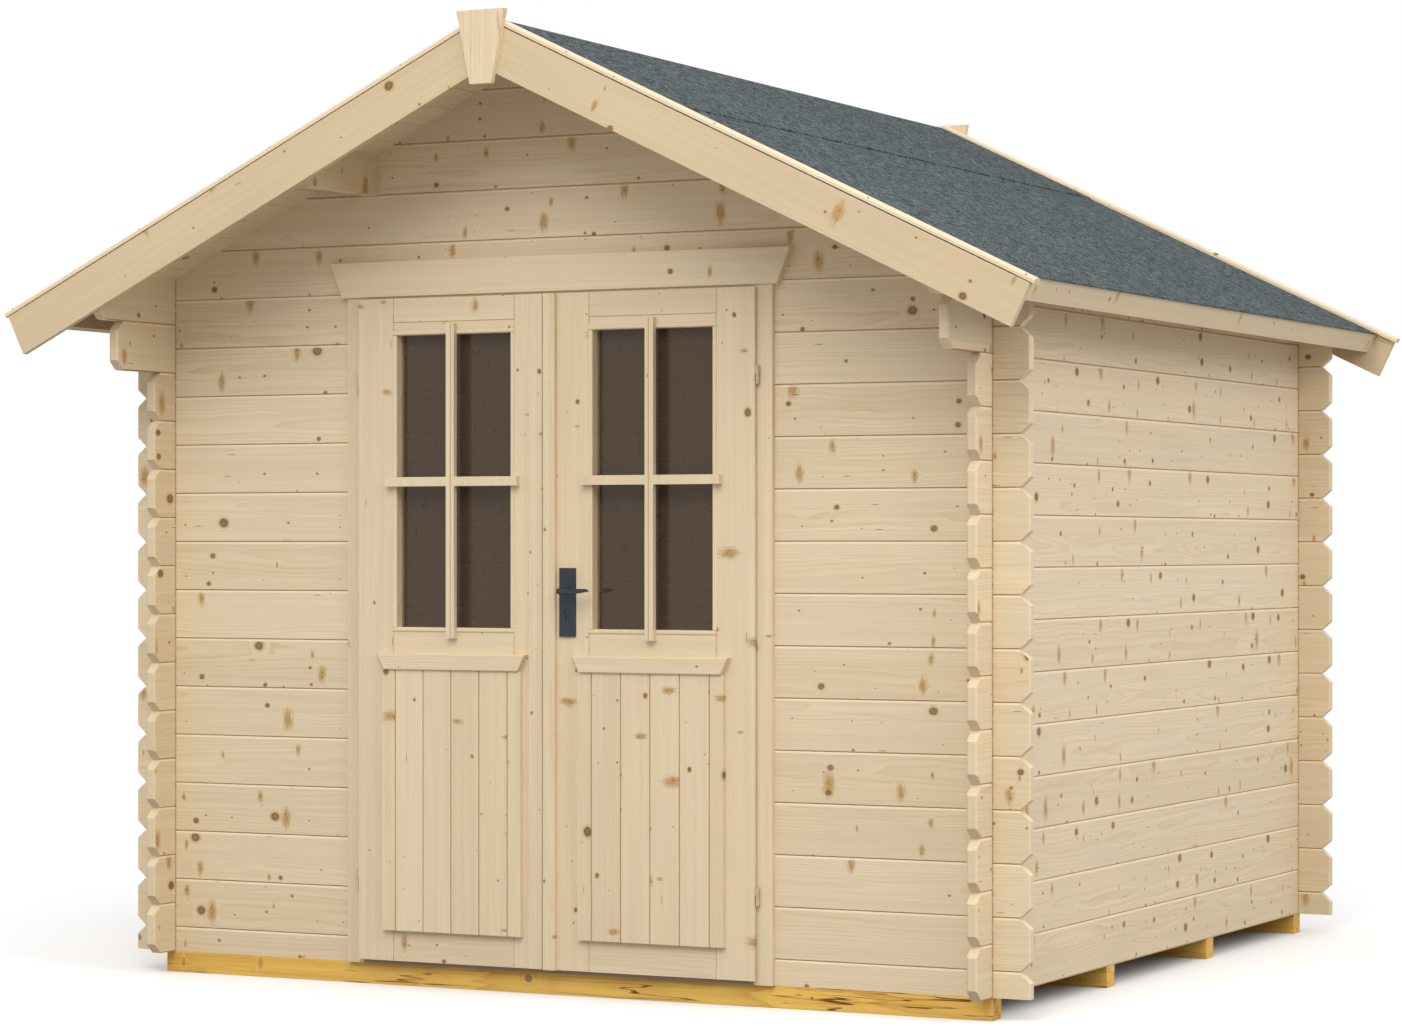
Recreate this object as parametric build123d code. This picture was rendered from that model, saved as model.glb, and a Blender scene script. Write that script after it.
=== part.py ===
from build123d import *
import math
import os

os.makedirs("parts", exist_ok=True)

# Log walls, in millimetres. The plan is square and the front faces -Y.
PLAN_WIDTH = 2500.0
PLAN_DEPTH = 2500.0
LOG_HEIGHT = 135.0
LOG_THICKNESS = 28.0
SIDE_COURSES = 14
NOTCH_SHARE = 0.25
GROOVE_DEPTH = 3.0
LOG_END_LENGTH = 102.0
END_CHAMFER_DEPTH = 30.0
END_CHAMFER_RISE = 27.0
END_EDGE_BEVEL = 4.0
BRACKET_LENGTHS = (279.0, 365.0)
REAR_BRACKET_LENGTH = 125.0

# Foundation beams and floor
BEAM_COUNT = 4
BEAM_HEIGHT = 58.0
BEAM_WIDTH = 58.0
REAR_BEAM_INSET = 12.0
FLOOR_THICKNESS = 18.0
FLOOR_CLEARANCE = 3.0

# Roof
ROOF_PITCH = 25.8
WALL_TOP_CUT = 19.3
ROOF_BOARD_THICKNESS = 18.0
EAVES_OVERHANG = 186.0
FRONT_OVERHANG = 390.0
REAR_OVERHANG = 145.0
FELT_THICKNESS = 3.0
FELT_DRIP = 6.0
FELT_VERGE_INSET = 6.0
PURLIN_INNER_X = 557.0
PURLIN_WIDTH = 45.0
PURLIN_HEIGHT = 113.2
PURLIN_END_CHAMFER = 49.0

# Roof trim
TRIM_THICKNESS = 18.0
TRIM_GAP = 0.3
BARGEBOARD_WIDTH = 115.0
BARGEBOARD_EXTRA = 71.0
RIDGE_JOINT_GAP = 0.6
BATTEN_WIDTH = 34.0
BATTEN_THICKNESS = 14.0
BATTEN_ROUNDING = 9.0
BATTEN_EXTRA = 16.0
RIDGE_BOARD_TOP_WIDTH = 142.0
RIDGE_BOARD_BOTTOM_WIDTH = 62.0
RIDGE_BOARD_HEIGHT = 190.0
RIDGE_BOARD_RISE = 19.0
EAVES_BOARD_HEIGHT = 62.0

# Doorway
FRAME_HALF_WIDTH = 591.0
JAMB_THICKNESS = 29.0
CASING_WIDTH = 53.0
CASING_THICKNESS = 16.0
FRAME_HEAD_THICKNESS = 22.5
HEAD_STRIP_HEIGHT = 13.0
THRESHOLD_HEIGHT = 22.0
HEAD_BOARD_HEIGHT = 97.0
HEAD_BOARD_THICKNESS = 24.0
HEAD_BOARD_TOP_EXTRA = 54.0
HEAD_BOARD_BOTTOM_EXTRA = 16.0
EDGE_ROUNDING = 3.0

# Door leaves
LEAF_CLEARANCE = 6.0
RIM_FRONT = 30.0
RIM_THICKNESS = 9.0
RIM_OVERLAP = 9.0
RIM_BOTTOM_LAP = 11.0
LEAF_BACK = 10.0
LEAF_MEETING_X = -20.0
LEAF_MEETING_GAP = 6.5
OUTER_STILE_WIDTH = 109.5
WINDOW_HALF_WIDTH = 189.0
WINDOW_BOTTOM = 904.5
TOP_RAIL_HEIGHT = 81.0
BOTTOM_RAIL_TOP = 112.0
MIDDLE_RAIL_BOTTOM = 785.0
PANEL_SIDE_LAP = 26.0
PANEL_BOTTOM_LAP = 17.0
PANEL_TOP_LAP = 17.0
PANEL_THICKNESS = 15.0
PANEL_BOARD_WIDTH = 87.0
GLASS_THICKNESS = 4.0
GLASS_DEPTH = 27.0
BEAD_WIDTH = 12.0
BEAD_PROUD = 3.0
BEAD_ROUNDING = 4.0
BEAD_GAP = 0.3
BAR_WIDTH = 25.0
BAR_THICKNESS = 16.0
BAR_LAP = 16.0
CROSS_BAR_HEIGHT = 1310.0
SILL_HEIGHT = 44.0
SILL_THICKNESS = 22.0
SILL_TOP_EXTRA = 15.5
SILL_BOTTOM_INSET = 7.0
STRIP_WIDTH = 37.0
STRIP_THICKNESS = 14.0

# Hinges
LOW_HINGE_HEIGHT = 230.0
HIGH_HINGE_DROP = 220.0
HINGE_AXIS_OFFSET = 6.0
KNUCKLE_RADIUS = 4.5
KNUCKLE_LENGTH = 24.0
KNUCKLE_GAP = 0.5
KNUCKLE_FACES = 12
PIN_RADIUS = 2.2
PIN_LENGTH = 18.0
PIN_CLEARANCE = 0.3
PIN_END_GAP = 0.5
STEM_WIDTH = 6.0

# Handle
HANDLE_BACKSET = 71.0
HANDLE_HEIGHT = 1017.0
KEYHOLE_DROP = 57.0
KEYHOLE_RADIUS = 8.5
KEYHOLE_SLOT_WIDTH = 10.0
KEYHOLE_SLOT_DROP = 19.0
KEYHOLE_DEPTH = 2.0
PLATE_WIDTH = 48.0
PLATE_DROP = 121.0
PLATE_HEIGHT = 182.0
PLATE_THICKNESS = 6.0
LEVER_REACH = 45.0
LEVER_LENGTH = 87.0
LEVER_HEIGHT = 13.0
LEVER_THICKNESS = 11.0
LEVER_TAPER_LENGTH = 40.0
LEVER_NOSE_LENGTH = 11.0
LEVER_TIP_RISE = 6.0
LEVER_TIP_ROUNDING = 2.0
LEVER_BEVEL = 1.5
NECK_RADIUS = 8.5
SPINDLE_CLEARANCE = 0.4

# Places that follow from the sizes above
SLOPE = math.tan(math.radians(ROOF_PITCH))
SLOPE_COS = math.cos(math.radians(ROOF_PITCH))
SLOPE_SIN = math.sin(math.radians(ROOF_PITCH))
HALF_WIDTH = PLAN_WIDTH / 2
BEAM_PITCH = (PLAN_DEPTH - REAR_BEAM_INSET - BEAM_WIDTH) / (BEAM_COUNT - 1)
BASE = BEAM_HEIGHT
FRONT = FRONT_OVERHANG + TRIM_THICKNESS - (
    FRONT_OVERHANG + REAR_OVERHANG + PLAN_DEPTH + 2 * TRIM_THICKNESS) / 2
REAR = FRONT + PLAN_DEPTH
ROOF_FRONT = FRONT - FRONT_OVERHANG + TRIM_THICKNESS
ROOF_REAR = REAR + REAR_OVERHANG - TRIM_THICKNESS
OPENING_TOP = (SIDE_COURSES - 0.5) * LOG_HEIGHT
FRAME_HEAD_BOTTOM = OPENING_TOP - FRAME_HEAD_THICKNESS
HEAD_BOARD_BOTTOM = FRAME_HEAD_BOTTOM + HEAD_STRIP_HEIGHT
OPENING_HALF_WIDTH = FRAME_HALF_WIDTH + JAMB_THICKNESS
CASING_OUTER = FRAME_HALF_WIDTH + CASING_WIDTH
HEAD_BOARD_TOP_HALF = CASING_OUTER + HEAD_BOARD_TOP_EXTRA
HEAD_BOARD_BOTTOM_HALF = CASING_OUTER + HEAD_BOARD_BOTTOM_EXTRA
ROOF_UNDERSIDE_APEX = SIDE_COURSES * LOG_HEIGHT - WALL_TOP_CUT + SLOPE * HALF_WIDTH
ROOF_HALF_WIDTH = HALF_WIDTH + EAVES_OVERHANG
BOARD_TOP_APEX = ROOF_UNDERSIDE_APEX + ROOF_BOARD_THICKNESS / SLOPE_COS
FELT_TOP_APEX = BOARD_TOP_APEX + FELT_THICKNESS / SLOPE_COS
BARGEBOARD_REACH = ROOF_HALF_WIDTH + BARGEBOARD_EXTRA
BATTEN_REACH = BARGEBOARD_REACH + BATTEN_EXTRA
LEAF_EDGE = FRAME_HALF_WIDTH + RIM_OVERLAP
LEAF_BODY_EDGE = FRAME_HALF_WIDTH - LEAF_CLEARANCE
WINDOW_CENTRE_X = LEAF_EDGE - OUTER_STILE_WIDTH - WINDOW_HALF_WIDTH
WINDOW_TOP = FRAME_HEAD_BOTTOM - TOP_RAIL_HEIGHT
PANEL_HALF_WIDTH = WINDOW_HALF_WIDTH + PANEL_SIDE_LAP
PANEL_BOTTOM = BOTTOM_RAIL_TOP - PANEL_BOTTOM_LAP
SILL_BOTTOM = MIDDLE_RAIL_BOTTOM + PANEL_TOP_LAP
SILL_TOP_HALF = PANEL_HALF_WIDTH + SILL_TOP_EXTRA
SILL_BOTTOM_HALF = PANEL_HALF_WIDTH - SILL_BOTTOM_INSET
RIM_BOTTOM = THRESHOLD_HEIGHT - RIM_BOTTOM_LAP
RIM_TOP = HEAD_BOARD_BOTTOM - LEAF_CLEARANCE
BODY_BOTTOM = THRESHOLD_HEIGHT + LEAF_CLEARANCE
BODY_TOP = FRAME_HEAD_BOTTOM - LEAF_CLEARANCE
RIM_FRONT_Y = FRONT - RIM_FRONT
RIM_BACK_Y = RIM_FRONT_Y + RIM_THICKNESS
LEAF_BACK_Y = FRONT + LEAF_BACK
CASING_FRONT_Y = FRONT - CASING_THICKNESS
HINGE_X = LEAF_EDGE + HINGE_AXIS_OFFSET
HINGE_Y = RIM_FRONT_Y + RIM_THICKNESS / 2
HIGH_HINGE_HEIGHT = FRAME_HEAD_BOTTOM - HIGH_HINGE_DROP
HINGE_HEIGHTS = (LOW_HINGE_HEIGHT, HIGH_HINGE_HEIGHT)
HANDLE_X = LEAF_MEETING_X + HANDLE_BACKSET
KEYHOLE_HEIGHT = HANDLE_HEIGHT - KEYHOLE_DROP
PLATE_BOTTOM = HANDLE_HEIGHT - PLATE_DROP
EPS = 1.0


def block(x0, x1, y0, y1, z0, z1):
    """Box between two corners; heights are measured from the foot of the logs."""
    solid = Box(x1 - x0, y1 - y0, z1 - z0, align=(Align.MIN, Align.MIN, Align.MIN))
    return Pos(x0, y0, BASE + z0) * solid


def prism_along_x(points, x0, x1):
    """Outline of (y, z) points drawn out along X."""
    outline = [(y, BASE + z) for y, z in points]
    face = Plane.YZ.offset(x0) * Polygon(*outline, align=None)
    return extrude(face, amount=x1 - x0, dir=(1, 0, 0))


def prism_along_y(points, y0, y1):
    """Outline of (x, z) points drawn out along Y."""
    outline = [(x, BASE + z) for x, z in points]
    face = Plane.XZ.offset(-y0) * Polygon(*outline, align=None)
    return extrude(face, amount=y1 - y0, dir=(0, 1, 0))


def prism_along_z(points, z0, z1):
    """Outline of (x, y) points drawn up along Z."""
    face = Plane.XY.offset(BASE + z0) * Polygon(*points, align=None)
    return extrude(face, amount=z1 - z0, dir=(0, 0, 1))


def roof_height(x, apex=ROOF_UNDERSIDE_APEX):
    """Height of a roof plane at the distance x from the ridge."""
    return apex - SLOPE * abs(x)


def above_roof(y0, y1):
    """Everything above the underside of the roof boards, to cut the walls with."""
    reach = ROOF_HALF_WIDTH + BARGEBOARD_WIDTH
    low = roof_height(reach)
    top = ROOF_UNDERSIDE_APEX + LOG_HEIGHT
    points = [(-reach, low), (0, ROOF_UNDERSIDE_APEX), (reach, low), (reach, top), (-reach, top)]
    return prism_along_y(points, y0, y1)


def between(a, b):
    """Two places in rising order."""
    return (min(a, b), max(a, b))


def log_outline(outer, inner, low, high, joints):
    """Section through stacked logs, with a V groove on both faces at each joint."""
    depth = GROOVE_DEPTH if inner > outer else -GROOVE_DEPTH
    inside = [z for z in joints if low + GROOVE_DEPTH < z < high - GROOVE_DEPTH]
    points = [(outer, low)]
    for z in inside:
        points += [(outer, z - GROOVE_DEPTH), (outer + depth, z), (outer, z + GROOVE_DEPTH)]
    points += [(outer, high), (inner, high)]
    for z in reversed(inside):
        points += [(inner, z + GROOVE_DEPTH), (inner - depth, z), (inner, z - GROOVE_DEPTH)]
    points.append((inner, low))
    return points


def gable_joints():
    """Joint heights in the front and rear walls, which start with half a log."""
    count = int(ROOF_UNDERSIDE_APEX / LOG_HEIGHT) + 1
    return [(k + 0.5) * LOG_HEIGHT for k in range(count)]


def side_joints():
    """Joint heights in the side walls, which start with a whole log."""
    return [k * LOG_HEIGHT for k in range(1, SIDE_COURSES)]


def end_notch(x_end, towards, z, y0, y1):
    """V between two log ends that are chamfered above and below their joint."""
    tip = x_end - towards * END_CHAMFER_DEPTH
    outside = x_end + towards * EPS
    rise = END_CHAMFER_RISE * (1 + EPS / END_CHAMFER_DEPTH)
    return prism_along_y([(tip, z), (outside, z - rise), (outside, z + rise)], y0, y1)


def end_bevels(x_end, towards, across0, across1, z0, z1, along_x):
    """Small bevels down both edges of a stack of log ends."""
    size = END_EDGE_BEVEL
    bevels = []
    for side, inward in ((across0, 1), (across1, -1)):
        outside = side - inward * EPS
        points = [(x_end - towards * size, side), (x_end - towards * size, outside),
                  (x_end, outside), (x_end, side + inward * size)]
        if not along_x:
            points = [(b, a) for a, b in points]
        bevels.append(prism_along_z(points, z0, z1))
    return bevels


def crossing_cuts_for_gable_wall(y0, y1, z0, z1):
    """Notches that leave room for the side wall's logs where the walls cross."""
    cuts = []
    for side in (-1, 1):
        x0, x1 = between(side * (HALF_WIDTH - LOG_THICKNESS), side * HALF_WIDTH)
        for k in range(SIDE_COURSES):
            low = max((k + NOTCH_SHARE) * LOG_HEIGHT, z0)
            high = min((k + 1 - NOTCH_SHARE) * LOG_HEIGHT, z1)
            if high > low:
                cuts.append(block(x0, x1, y0 - EPS, y1 + EPS, low, high))
    return cuts


def crossing_cuts_for_side_wall(x0, x1):
    """Notches that leave room for the front and rear walls' logs."""
    cuts = []
    for y0 in (FRONT, REAR - LOG_THICKNESS):
        for k in range(SIDE_COURSES + 1):
            low = (k - NOTCH_SHARE) * LOG_HEIGHT if k else -EPS
            high = (k + NOTCH_SHARE) * LOG_HEIGHT
            cuts.append(block(x0 - EPS, x1 + EPS, y0, y0 + LOG_THICKNESS, low, high))
    return cuts


def gable_wall_piece(x0, x1, outer_y, inner_y, z0, z1):
    """Stretch of the front or rear wall with its log ends, notches and roof cut."""
    wall = prism_along_x(log_outline(outer_y, inner_y, z0, z1, gable_joints()), x0, x1)
    y0, y1 = between(outer_y, inner_y)
    reach = HALF_WIDTH + LOG_END_LENGTH
    cuts = crossing_cuts_for_gable_wall(y0, y1, z0, z1)
    for side, end in ((-1, x0), (1, x1)):
        if abs(end) < reach:
            continue
        for z in gable_joints():
            if z0 <= z <= z1:
                cuts.append(end_notch(end, side, z, y0 - EPS, y1 + EPS))
        cuts += end_bevels(end, side, y0, y1, z0 - EPS, z1 + EPS, True)
    if z1 > roof_height(reach):
        cuts.append(above_roof(y0 - EPS, y1 + EPS))
        cuts += purlin_slots(y0 - EPS, y1 + EPS)
    return wall - cuts


def purlin_slots(y0, y1):
    """Slots in a gable for the two purlins."""
    seat = roof_height(PURLIN_INNER_X) - PURLIN_HEIGHT
    top = ROOF_UNDERSIDE_APEX
    inner = PURLIN_INNER_X
    outer = PURLIN_INNER_X + PURLIN_WIDTH
    return [block(inner, outer, y0, y1, seat, top), block(-outer, -inner, y0, y1, seat, top)]


def side_wall(side):
    """Side wall whose two top logs run forward as brackets under the roof."""
    outer = side * HALF_WIDTH
    inner = side * (HALF_WIDTH - LOG_THICKNESS)
    x0, x1 = between(outer, inner)
    height = SIDE_COURSES * LOG_HEIGHT
    front_end = FRONT - LOG_END_LENGTH
    rear_end = REAR + LOG_END_LENGTH
    front_most = FRONT - max(BRACKET_LENGTHS)
    rear_most = REAR + REAR_BRACKET_LENGTH
    wall = prism_along_y(log_outline(outer, inner, 0, height, side_joints()), front_most, rear_most)

    first_bracket = SIDE_COURSES - len(BRACKET_LENGTHS)
    cuts = [block(x0 - EPS, x1 + EPS, front_most - EPS, front_end, -EPS, first_bracket * LOG_HEIGHT)]
    front_ends = [front_end] * first_bracket
    for k, length in enumerate(BRACKET_LENGTHS):
        low = (first_bracket + k) * LOG_HEIGHT
        front_ends.append(FRONT - length)
        cuts.append(block(x0 - EPS, x1 + EPS, front_most - EPS, FRONT - length, low, low + LOG_HEIGHT))
    rear_ends = [rear_end] * (SIDE_COURSES - 1) + [rear_most]
    top_joint = (SIDE_COURSES - 1) * LOG_HEIGHT
    cuts.append(block(x0 - EPS, x1 + EPS, rear_end, rear_most + EPS, -EPS, top_joint))
    for k in range(SIDE_COURSES):
        low = k * LOG_HEIGHT
        for end, towards in ((front_ends[k], -1), (rear_ends[k], 1)):
            cuts += log_end_chamfers(end, towards, low, low + LOG_HEIGHT, x0 - EPS, x1 + EPS)
            cuts += end_bevels(end, towards, x0, x1, low, low + LOG_HEIGHT, False)
    cuts += crossing_cuts_for_side_wall(x0, x1)
    cuts.append(above_roof(front_most - EPS, rear_most + EPS))
    return wall - cuts


def log_end_chamfers(y_end, towards, low, high, x0, x1):
    """Chamfers above and below on the end of one side wall log."""
    tip = y_end - towards * END_CHAMFER_DEPTH
    rise = END_CHAMFER_RISE
    lower = [(tip, low), (y_end, low), (y_end, low + rise)]
    upper = [(tip, high), (y_end, high), (y_end, high - rise)]
    return [prism_along_x(lower, x0, x1), prism_along_x(upper, x0, x1)]


def foundation_beams():
    """Square beams laid from side to side under the walls and the floor."""
    beams = []
    for k in range(BEAM_COUNT):
        y0 = FRONT + k * BEAM_PITCH
        beams.append(block(-HALF_WIDTH, HALF_WIDTH, y0, y0 + BEAM_WIDTH, -BEAM_HEIGHT, 0))
    return beams


def floor_boards():
    """Floor laid on the beams inside the log walls."""
    inset = LOG_THICKNESS + FLOOR_CLEARANCE
    x1 = HALF_WIDTH - inset
    return block(-x1, x1, FRONT + inset, REAR - inset, 0, FLOOR_THICKNESS)


def front_wall_side(side):
    """Front wall beside the doorway, as high as the doorway."""
    x0, x1 = between(side * (HALF_WIDTH + LOG_END_LENGTH), side * OPENING_HALF_WIDTH)
    return gable_wall_piece(x0, x1, FRONT, FRONT + LOG_THICKNESS, 0, OPENING_TOP)


def front_gable():
    """Front wall over the doorway, up to the roof boards."""
    end = HALF_WIDTH + LOG_END_LENGTH
    return gable_wall_piece(-end, end, FRONT, FRONT + LOG_THICKNESS, OPENING_TOP,
                            ROOF_UNDERSIDE_APEX + LOG_HEIGHT / 2)


def rear_wall():
    """Rear wall in one piece, from the beams to the roof boards."""
    end = HALF_WIDTH + LOG_END_LENGTH
    return gable_wall_piece(-end, end, REAR, REAR - LOG_THICKNESS, 0,
                            ROOF_UNDERSIDE_APEX + LOG_HEIGHT / 2)


def purlins():
    """Roof beams on the gables, one under each slope, with slanted lower ends."""
    top = roof_height(PURLIN_INNER_X)
    seat = top - PURLIN_HEIGHT
    cut = PURLIN_END_CHAMFER
    outline = [(ROOF_FRONT + cut, seat), (ROOF_REAR - cut, seat), (ROOF_REAR, seat + cut),
               (ROOF_REAR, top), (ROOF_FRONT, top), (ROOF_FRONT, seat + cut)]
    beams = []
    for side in (-1, 1):
        x0, x1 = between(side * PURLIN_INNER_X, side * (PURLIN_INNER_X + PURLIN_WIDTH))
        beam = prism_along_x(outline, x0, x1)
        beams.append(beam - above_roof(ROOF_FRONT - EPS, ROOF_REAR + EPS))
    return beams


def slope_layer(side, apex, thickness, x_end, y0, y1, ridge_x=0.0):
    """Layer of one roof slope, square cut at the eaves and upright at the ridge."""
    low_x = x_end - thickness * SLOPE_SIN
    points = [(side * ridge_x, roof_height(ridge_x, apex)), (side * low_x, roof_height(low_x, apex)),
              (side * x_end, roof_height(low_x, apex) + thickness * SLOPE_COS),
              (side * ridge_x, roof_height(ridge_x, apex) + thickness / SLOPE_COS)]
    return prism_along_y(points, y0, y1)


def roof_boards(side):
    """Tongued boards of one slope as one layer."""
    return slope_layer(side, ROOF_UNDERSIDE_APEX, ROOF_BOARD_THICKNESS, ROOF_HALF_WIDTH,
                       ROOF_FRONT, ROOF_REAR)


def roof_felt(side):
    """Roofing felt of one slope, out over the bargeboards and the eaves board."""
    x_end = ROOF_HALF_WIDTH + TRIM_THICKNESS * SLOPE_COS + FELT_DRIP
    return slope_layer(side, BOARD_TOP_APEX, FELT_THICKNESS, x_end,
                       FRONT - FRONT_OVERHANG + FELT_VERGE_INSET,
                       REAR + REAR_OVERHANG - FELT_VERGE_INSET)


def bargeboards(y0, y1):
    """Pair of sloping boards that cover the roof boards' ends at a gable."""
    boards = []
    apex = BOARD_TOP_APEX - BARGEBOARD_WIDTH / SLOPE_COS
    for side in (-1, 1):
        boards.append(slope_layer(side, apex, BARGEBOARD_WIDTH, BARGEBOARD_REACH, y0, y1,
                                  RIDGE_JOINT_GAP / 2))
    return boards


def verge_battens(y0, y1):
    """Pair of rounded strips that hold the felt down over the bargeboards."""
    battens = []
    for side in (-1, 1):
        strip = slope_layer(side, FELT_TOP_APEX, BATTEN_THICKNESS, BATTEN_REACH, y0, y1,
                            RIDGE_JOINT_GAP / 2)
        along = Vector(side * SLOPE_COS, 0, -SLOPE_SIN)
        long_edges = [e for e in strip.edges() if abs((e % 0.5).dot(along)) > 0.99]
        top_edges = sorted(long_edges, key=lambda e: e.center().Z)[-2:]
        battens.append(fillet(top_edges, BATTEN_ROUNDING))
    return battens


def ridge_board(y0, y1):
    """Tapered board that covers the joint between two bargeboards."""
    top = BOARD_TOP_APEX + RIDGE_BOARD_RISE
    bottom = top - RIDGE_BOARD_HEIGHT
    points = [(-RIDGE_BOARD_BOTTOM_WIDTH / 2, bottom), (RIDGE_BOARD_BOTTOM_WIDTH / 2, bottom),
              (RIDGE_BOARD_TOP_WIDTH / 2, top), (-RIDGE_BOARD_TOP_WIDTH / 2, top)]
    return prism_along_y(points, y0, y1)


def eaves_boards():
    """Boards along the lower ends of the roof boards, square to the slope."""
    boards = []
    top_z = roof_height(ROOF_HALF_WIDTH, BOARD_TOP_APEX)
    for side in (-1, 1):
        top = Vector(ROOF_HALF_WIDTH, 0, top_z)
        out = Vector(SLOPE_COS, 0, -SLOPE_SIN) * TRIM_THICKNESS
        down = Vector(-SLOPE_SIN, 0, -SLOPE_COS) * EAVES_BOARD_HEIGHT
        corners = [top, top + out, top + out + down, top + down]
        points = [(side * c.X, c.Z) for c in corners]
        boards.append(prism_along_y(points, ROOF_FRONT, ROOF_REAR))
    return boards


def door_jambs():
    """Upright frame members between the logs' cut ends."""
    back = FRONT + LOG_THICKNESS
    jambs = []
    for side in (-1, 1):
        x0, x1 = between(side * FRAME_HALF_WIDTH, side * OPENING_HALF_WIDTH)
        jambs.append(block(x0, x1, FRONT, back, 0, FRAME_HEAD_BOTTOM))
    return jambs


def door_head():
    """Top frame member, with its front strip between the casings."""
    back = FRONT + LOG_THICKNESS
    head = block(-OPENING_HALF_WIDTH, OPENING_HALF_WIDTH, FRONT, back, FRAME_HEAD_BOTTOM, OPENING_TOP)
    strip = block(-FRAME_HALF_WIDTH, FRAME_HALF_WIDTH, CASING_FRONT_Y, FRONT,
                  FRAME_HEAD_BOTTOM, HEAD_BOARD_BOTTOM)
    return head + strip


def door_threshold():
    """Bottom frame member, with its front strip between the casings."""
    back = FRONT + LOG_THICKNESS
    return block(-FRAME_HALF_WIDTH, FRAME_HALF_WIDTH, CASING_FRONT_Y, back, 0, THRESHOLD_HEIGHT)


def door_casings():
    """Cover boards on the front of the wall beside the doorway."""
    casings = []
    for side in (-1, 1):
        x0, x1 = between(side * FRAME_HALF_WIDTH, side * CASING_OUTER)
        casings.append(block(x0, x1, CASING_FRONT_Y, FRONT, 0, HEAD_BOARD_BOTTOM))
    return casings


def inner_casings():
    """Cover boards round the doorway on the inside of the wall."""
    y0 = FRONT + LOG_THICKNESS
    y1 = y0 + CASING_THICKNESS
    boards = []
    for side in (-1, 1):
        x0, x1 = between(side * FRAME_HALF_WIDTH, side * CASING_OUTER)
        boards.append(block(x0, x1, y0, y1, FLOOR_THICKNESS, FRAME_HEAD_BOTTOM - TRIM_GAP))
    boards.append(block(-CASING_OUTER, CASING_OUTER, y0, y1, FRAME_HEAD_BOTTOM,
                        FRAME_HEAD_BOTTOM + CASING_WIDTH))
    return boards


def head_board():
    """Wide board with slanted ends over the doorway."""
    top = HEAD_BOARD_BOTTOM + HEAD_BOARD_HEIGHT
    points = [(-HEAD_BOARD_BOTTOM_HALF, HEAD_BOARD_BOTTOM), (HEAD_BOARD_BOTTOM_HALF, HEAD_BOARD_BOTTOM),
              (HEAD_BOARD_TOP_HALF, top), (-HEAD_BOARD_TOP_HALF, top)]
    board = prism_along_y(points, FRONT - HEAD_BOARD_THICKNESS, FRONT)
    front_edges = board.faces().sort_by(Axis.Y)[0].edges()
    return fillet(front_edges, EDGE_ROUNDING)


def leaf_meeting_edge(side):
    """X of the leaf's edge at the meeting joint."""
    return LEAF_MEETING_X if side > 0 else LEAF_MEETING_X - LEAF_MEETING_GAP


def leaf_stiles(side):
    """Upright members of a leaf, the outer one rebated over the casing."""
    window_in = side * (WINDOW_CENTRE_X - WINDOW_HALF_WIDTH)
    window_out = side * (WINDOW_CENTRE_X + WINDOW_HALF_WIDTH)
    x0, x1 = between(leaf_meeting_edge(side), window_in)
    inner = block(x0, x1, RIM_FRONT_Y, RIM_BACK_Y, RIM_BOTTOM, RIM_TOP)
    inner += block(x0, x1, RIM_BACK_Y, LEAF_BACK_Y, BODY_BOTTOM, BODY_TOP)
    if side > 0:
        inner -= spindle_bore(RIM_FRONT_Y - EPS, LEAF_BACK_Y + EPS)
    x0, x1 = between(window_out, side * LEAF_EDGE)
    outer = block(x0, x1, RIM_FRONT_Y, RIM_BACK_Y, RIM_BOTTOM, RIM_TOP)
    x0, x1 = between(window_out, side * LEAF_BODY_EDGE)
    outer += block(x0, x1, RIM_BACK_Y, LEAF_BACK_Y, BODY_BOTTOM, BODY_TOP)
    return [inner, outer]


def leaf_rails(side):
    """Top, middle and bottom members between the stiles of a leaf."""
    x0, x1 = between(side * (WINDOW_CENTRE_X - WINDOW_HALF_WIDTH),
                     side * (WINDOW_CENTRE_X + WINDOW_HALF_WIDTH))
    top = block(x0, x1, RIM_FRONT_Y, RIM_BACK_Y, WINDOW_TOP, RIM_TOP)
    top += block(x0, x1, RIM_BACK_Y, LEAF_BACK_Y, WINDOW_TOP, BODY_TOP)
    middle = block(x0, x1, RIM_FRONT_Y, LEAF_BACK_Y, MIDDLE_RAIL_BOTTOM, WINDOW_BOTTOM)
    bottom = block(x0, x1, RIM_FRONT_Y, RIM_BACK_Y, RIM_BOTTOM, BOTTOM_RAIL_TOP)
    bottom += block(x0, x1, RIM_BACK_Y, LEAF_BACK_Y, BODY_BOTTOM, BOTTOM_RAIL_TOP)
    return [top, middle, bottom]


def leaf_panel(side):
    """Grooved upright boarding on the lower half of a leaf."""
    centre = side * WINDOW_CENTRE_X
    front = RIM_FRONT_Y - PANEL_THICKNESS
    panel = block(centre - PANEL_HALF_WIDTH, centre + PANEL_HALF_WIDTH, front, RIM_FRONT_Y,
                  PANEL_BOTTOM, SILL_BOTTOM)
    grooves = []
    count = int(PANEL_HALF_WIDTH / PANEL_BOARD_WIDTH)
    for k in range(-count, count + 1):
        x = centre + k * PANEL_BOARD_WIDTH
        points = [(x - GROOVE_DEPTH, front), (x - GROOVE_DEPTH, front - EPS),
                  (x + GROOVE_DEPTH, front - EPS), (x + GROOVE_DEPTH, front), (x, front + GROOVE_DEPTH)]
        grooves.append(prism_along_z(points, PANEL_BOTTOM - EPS, SILL_BOTTOM + EPS))
    return panel - grooves


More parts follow.
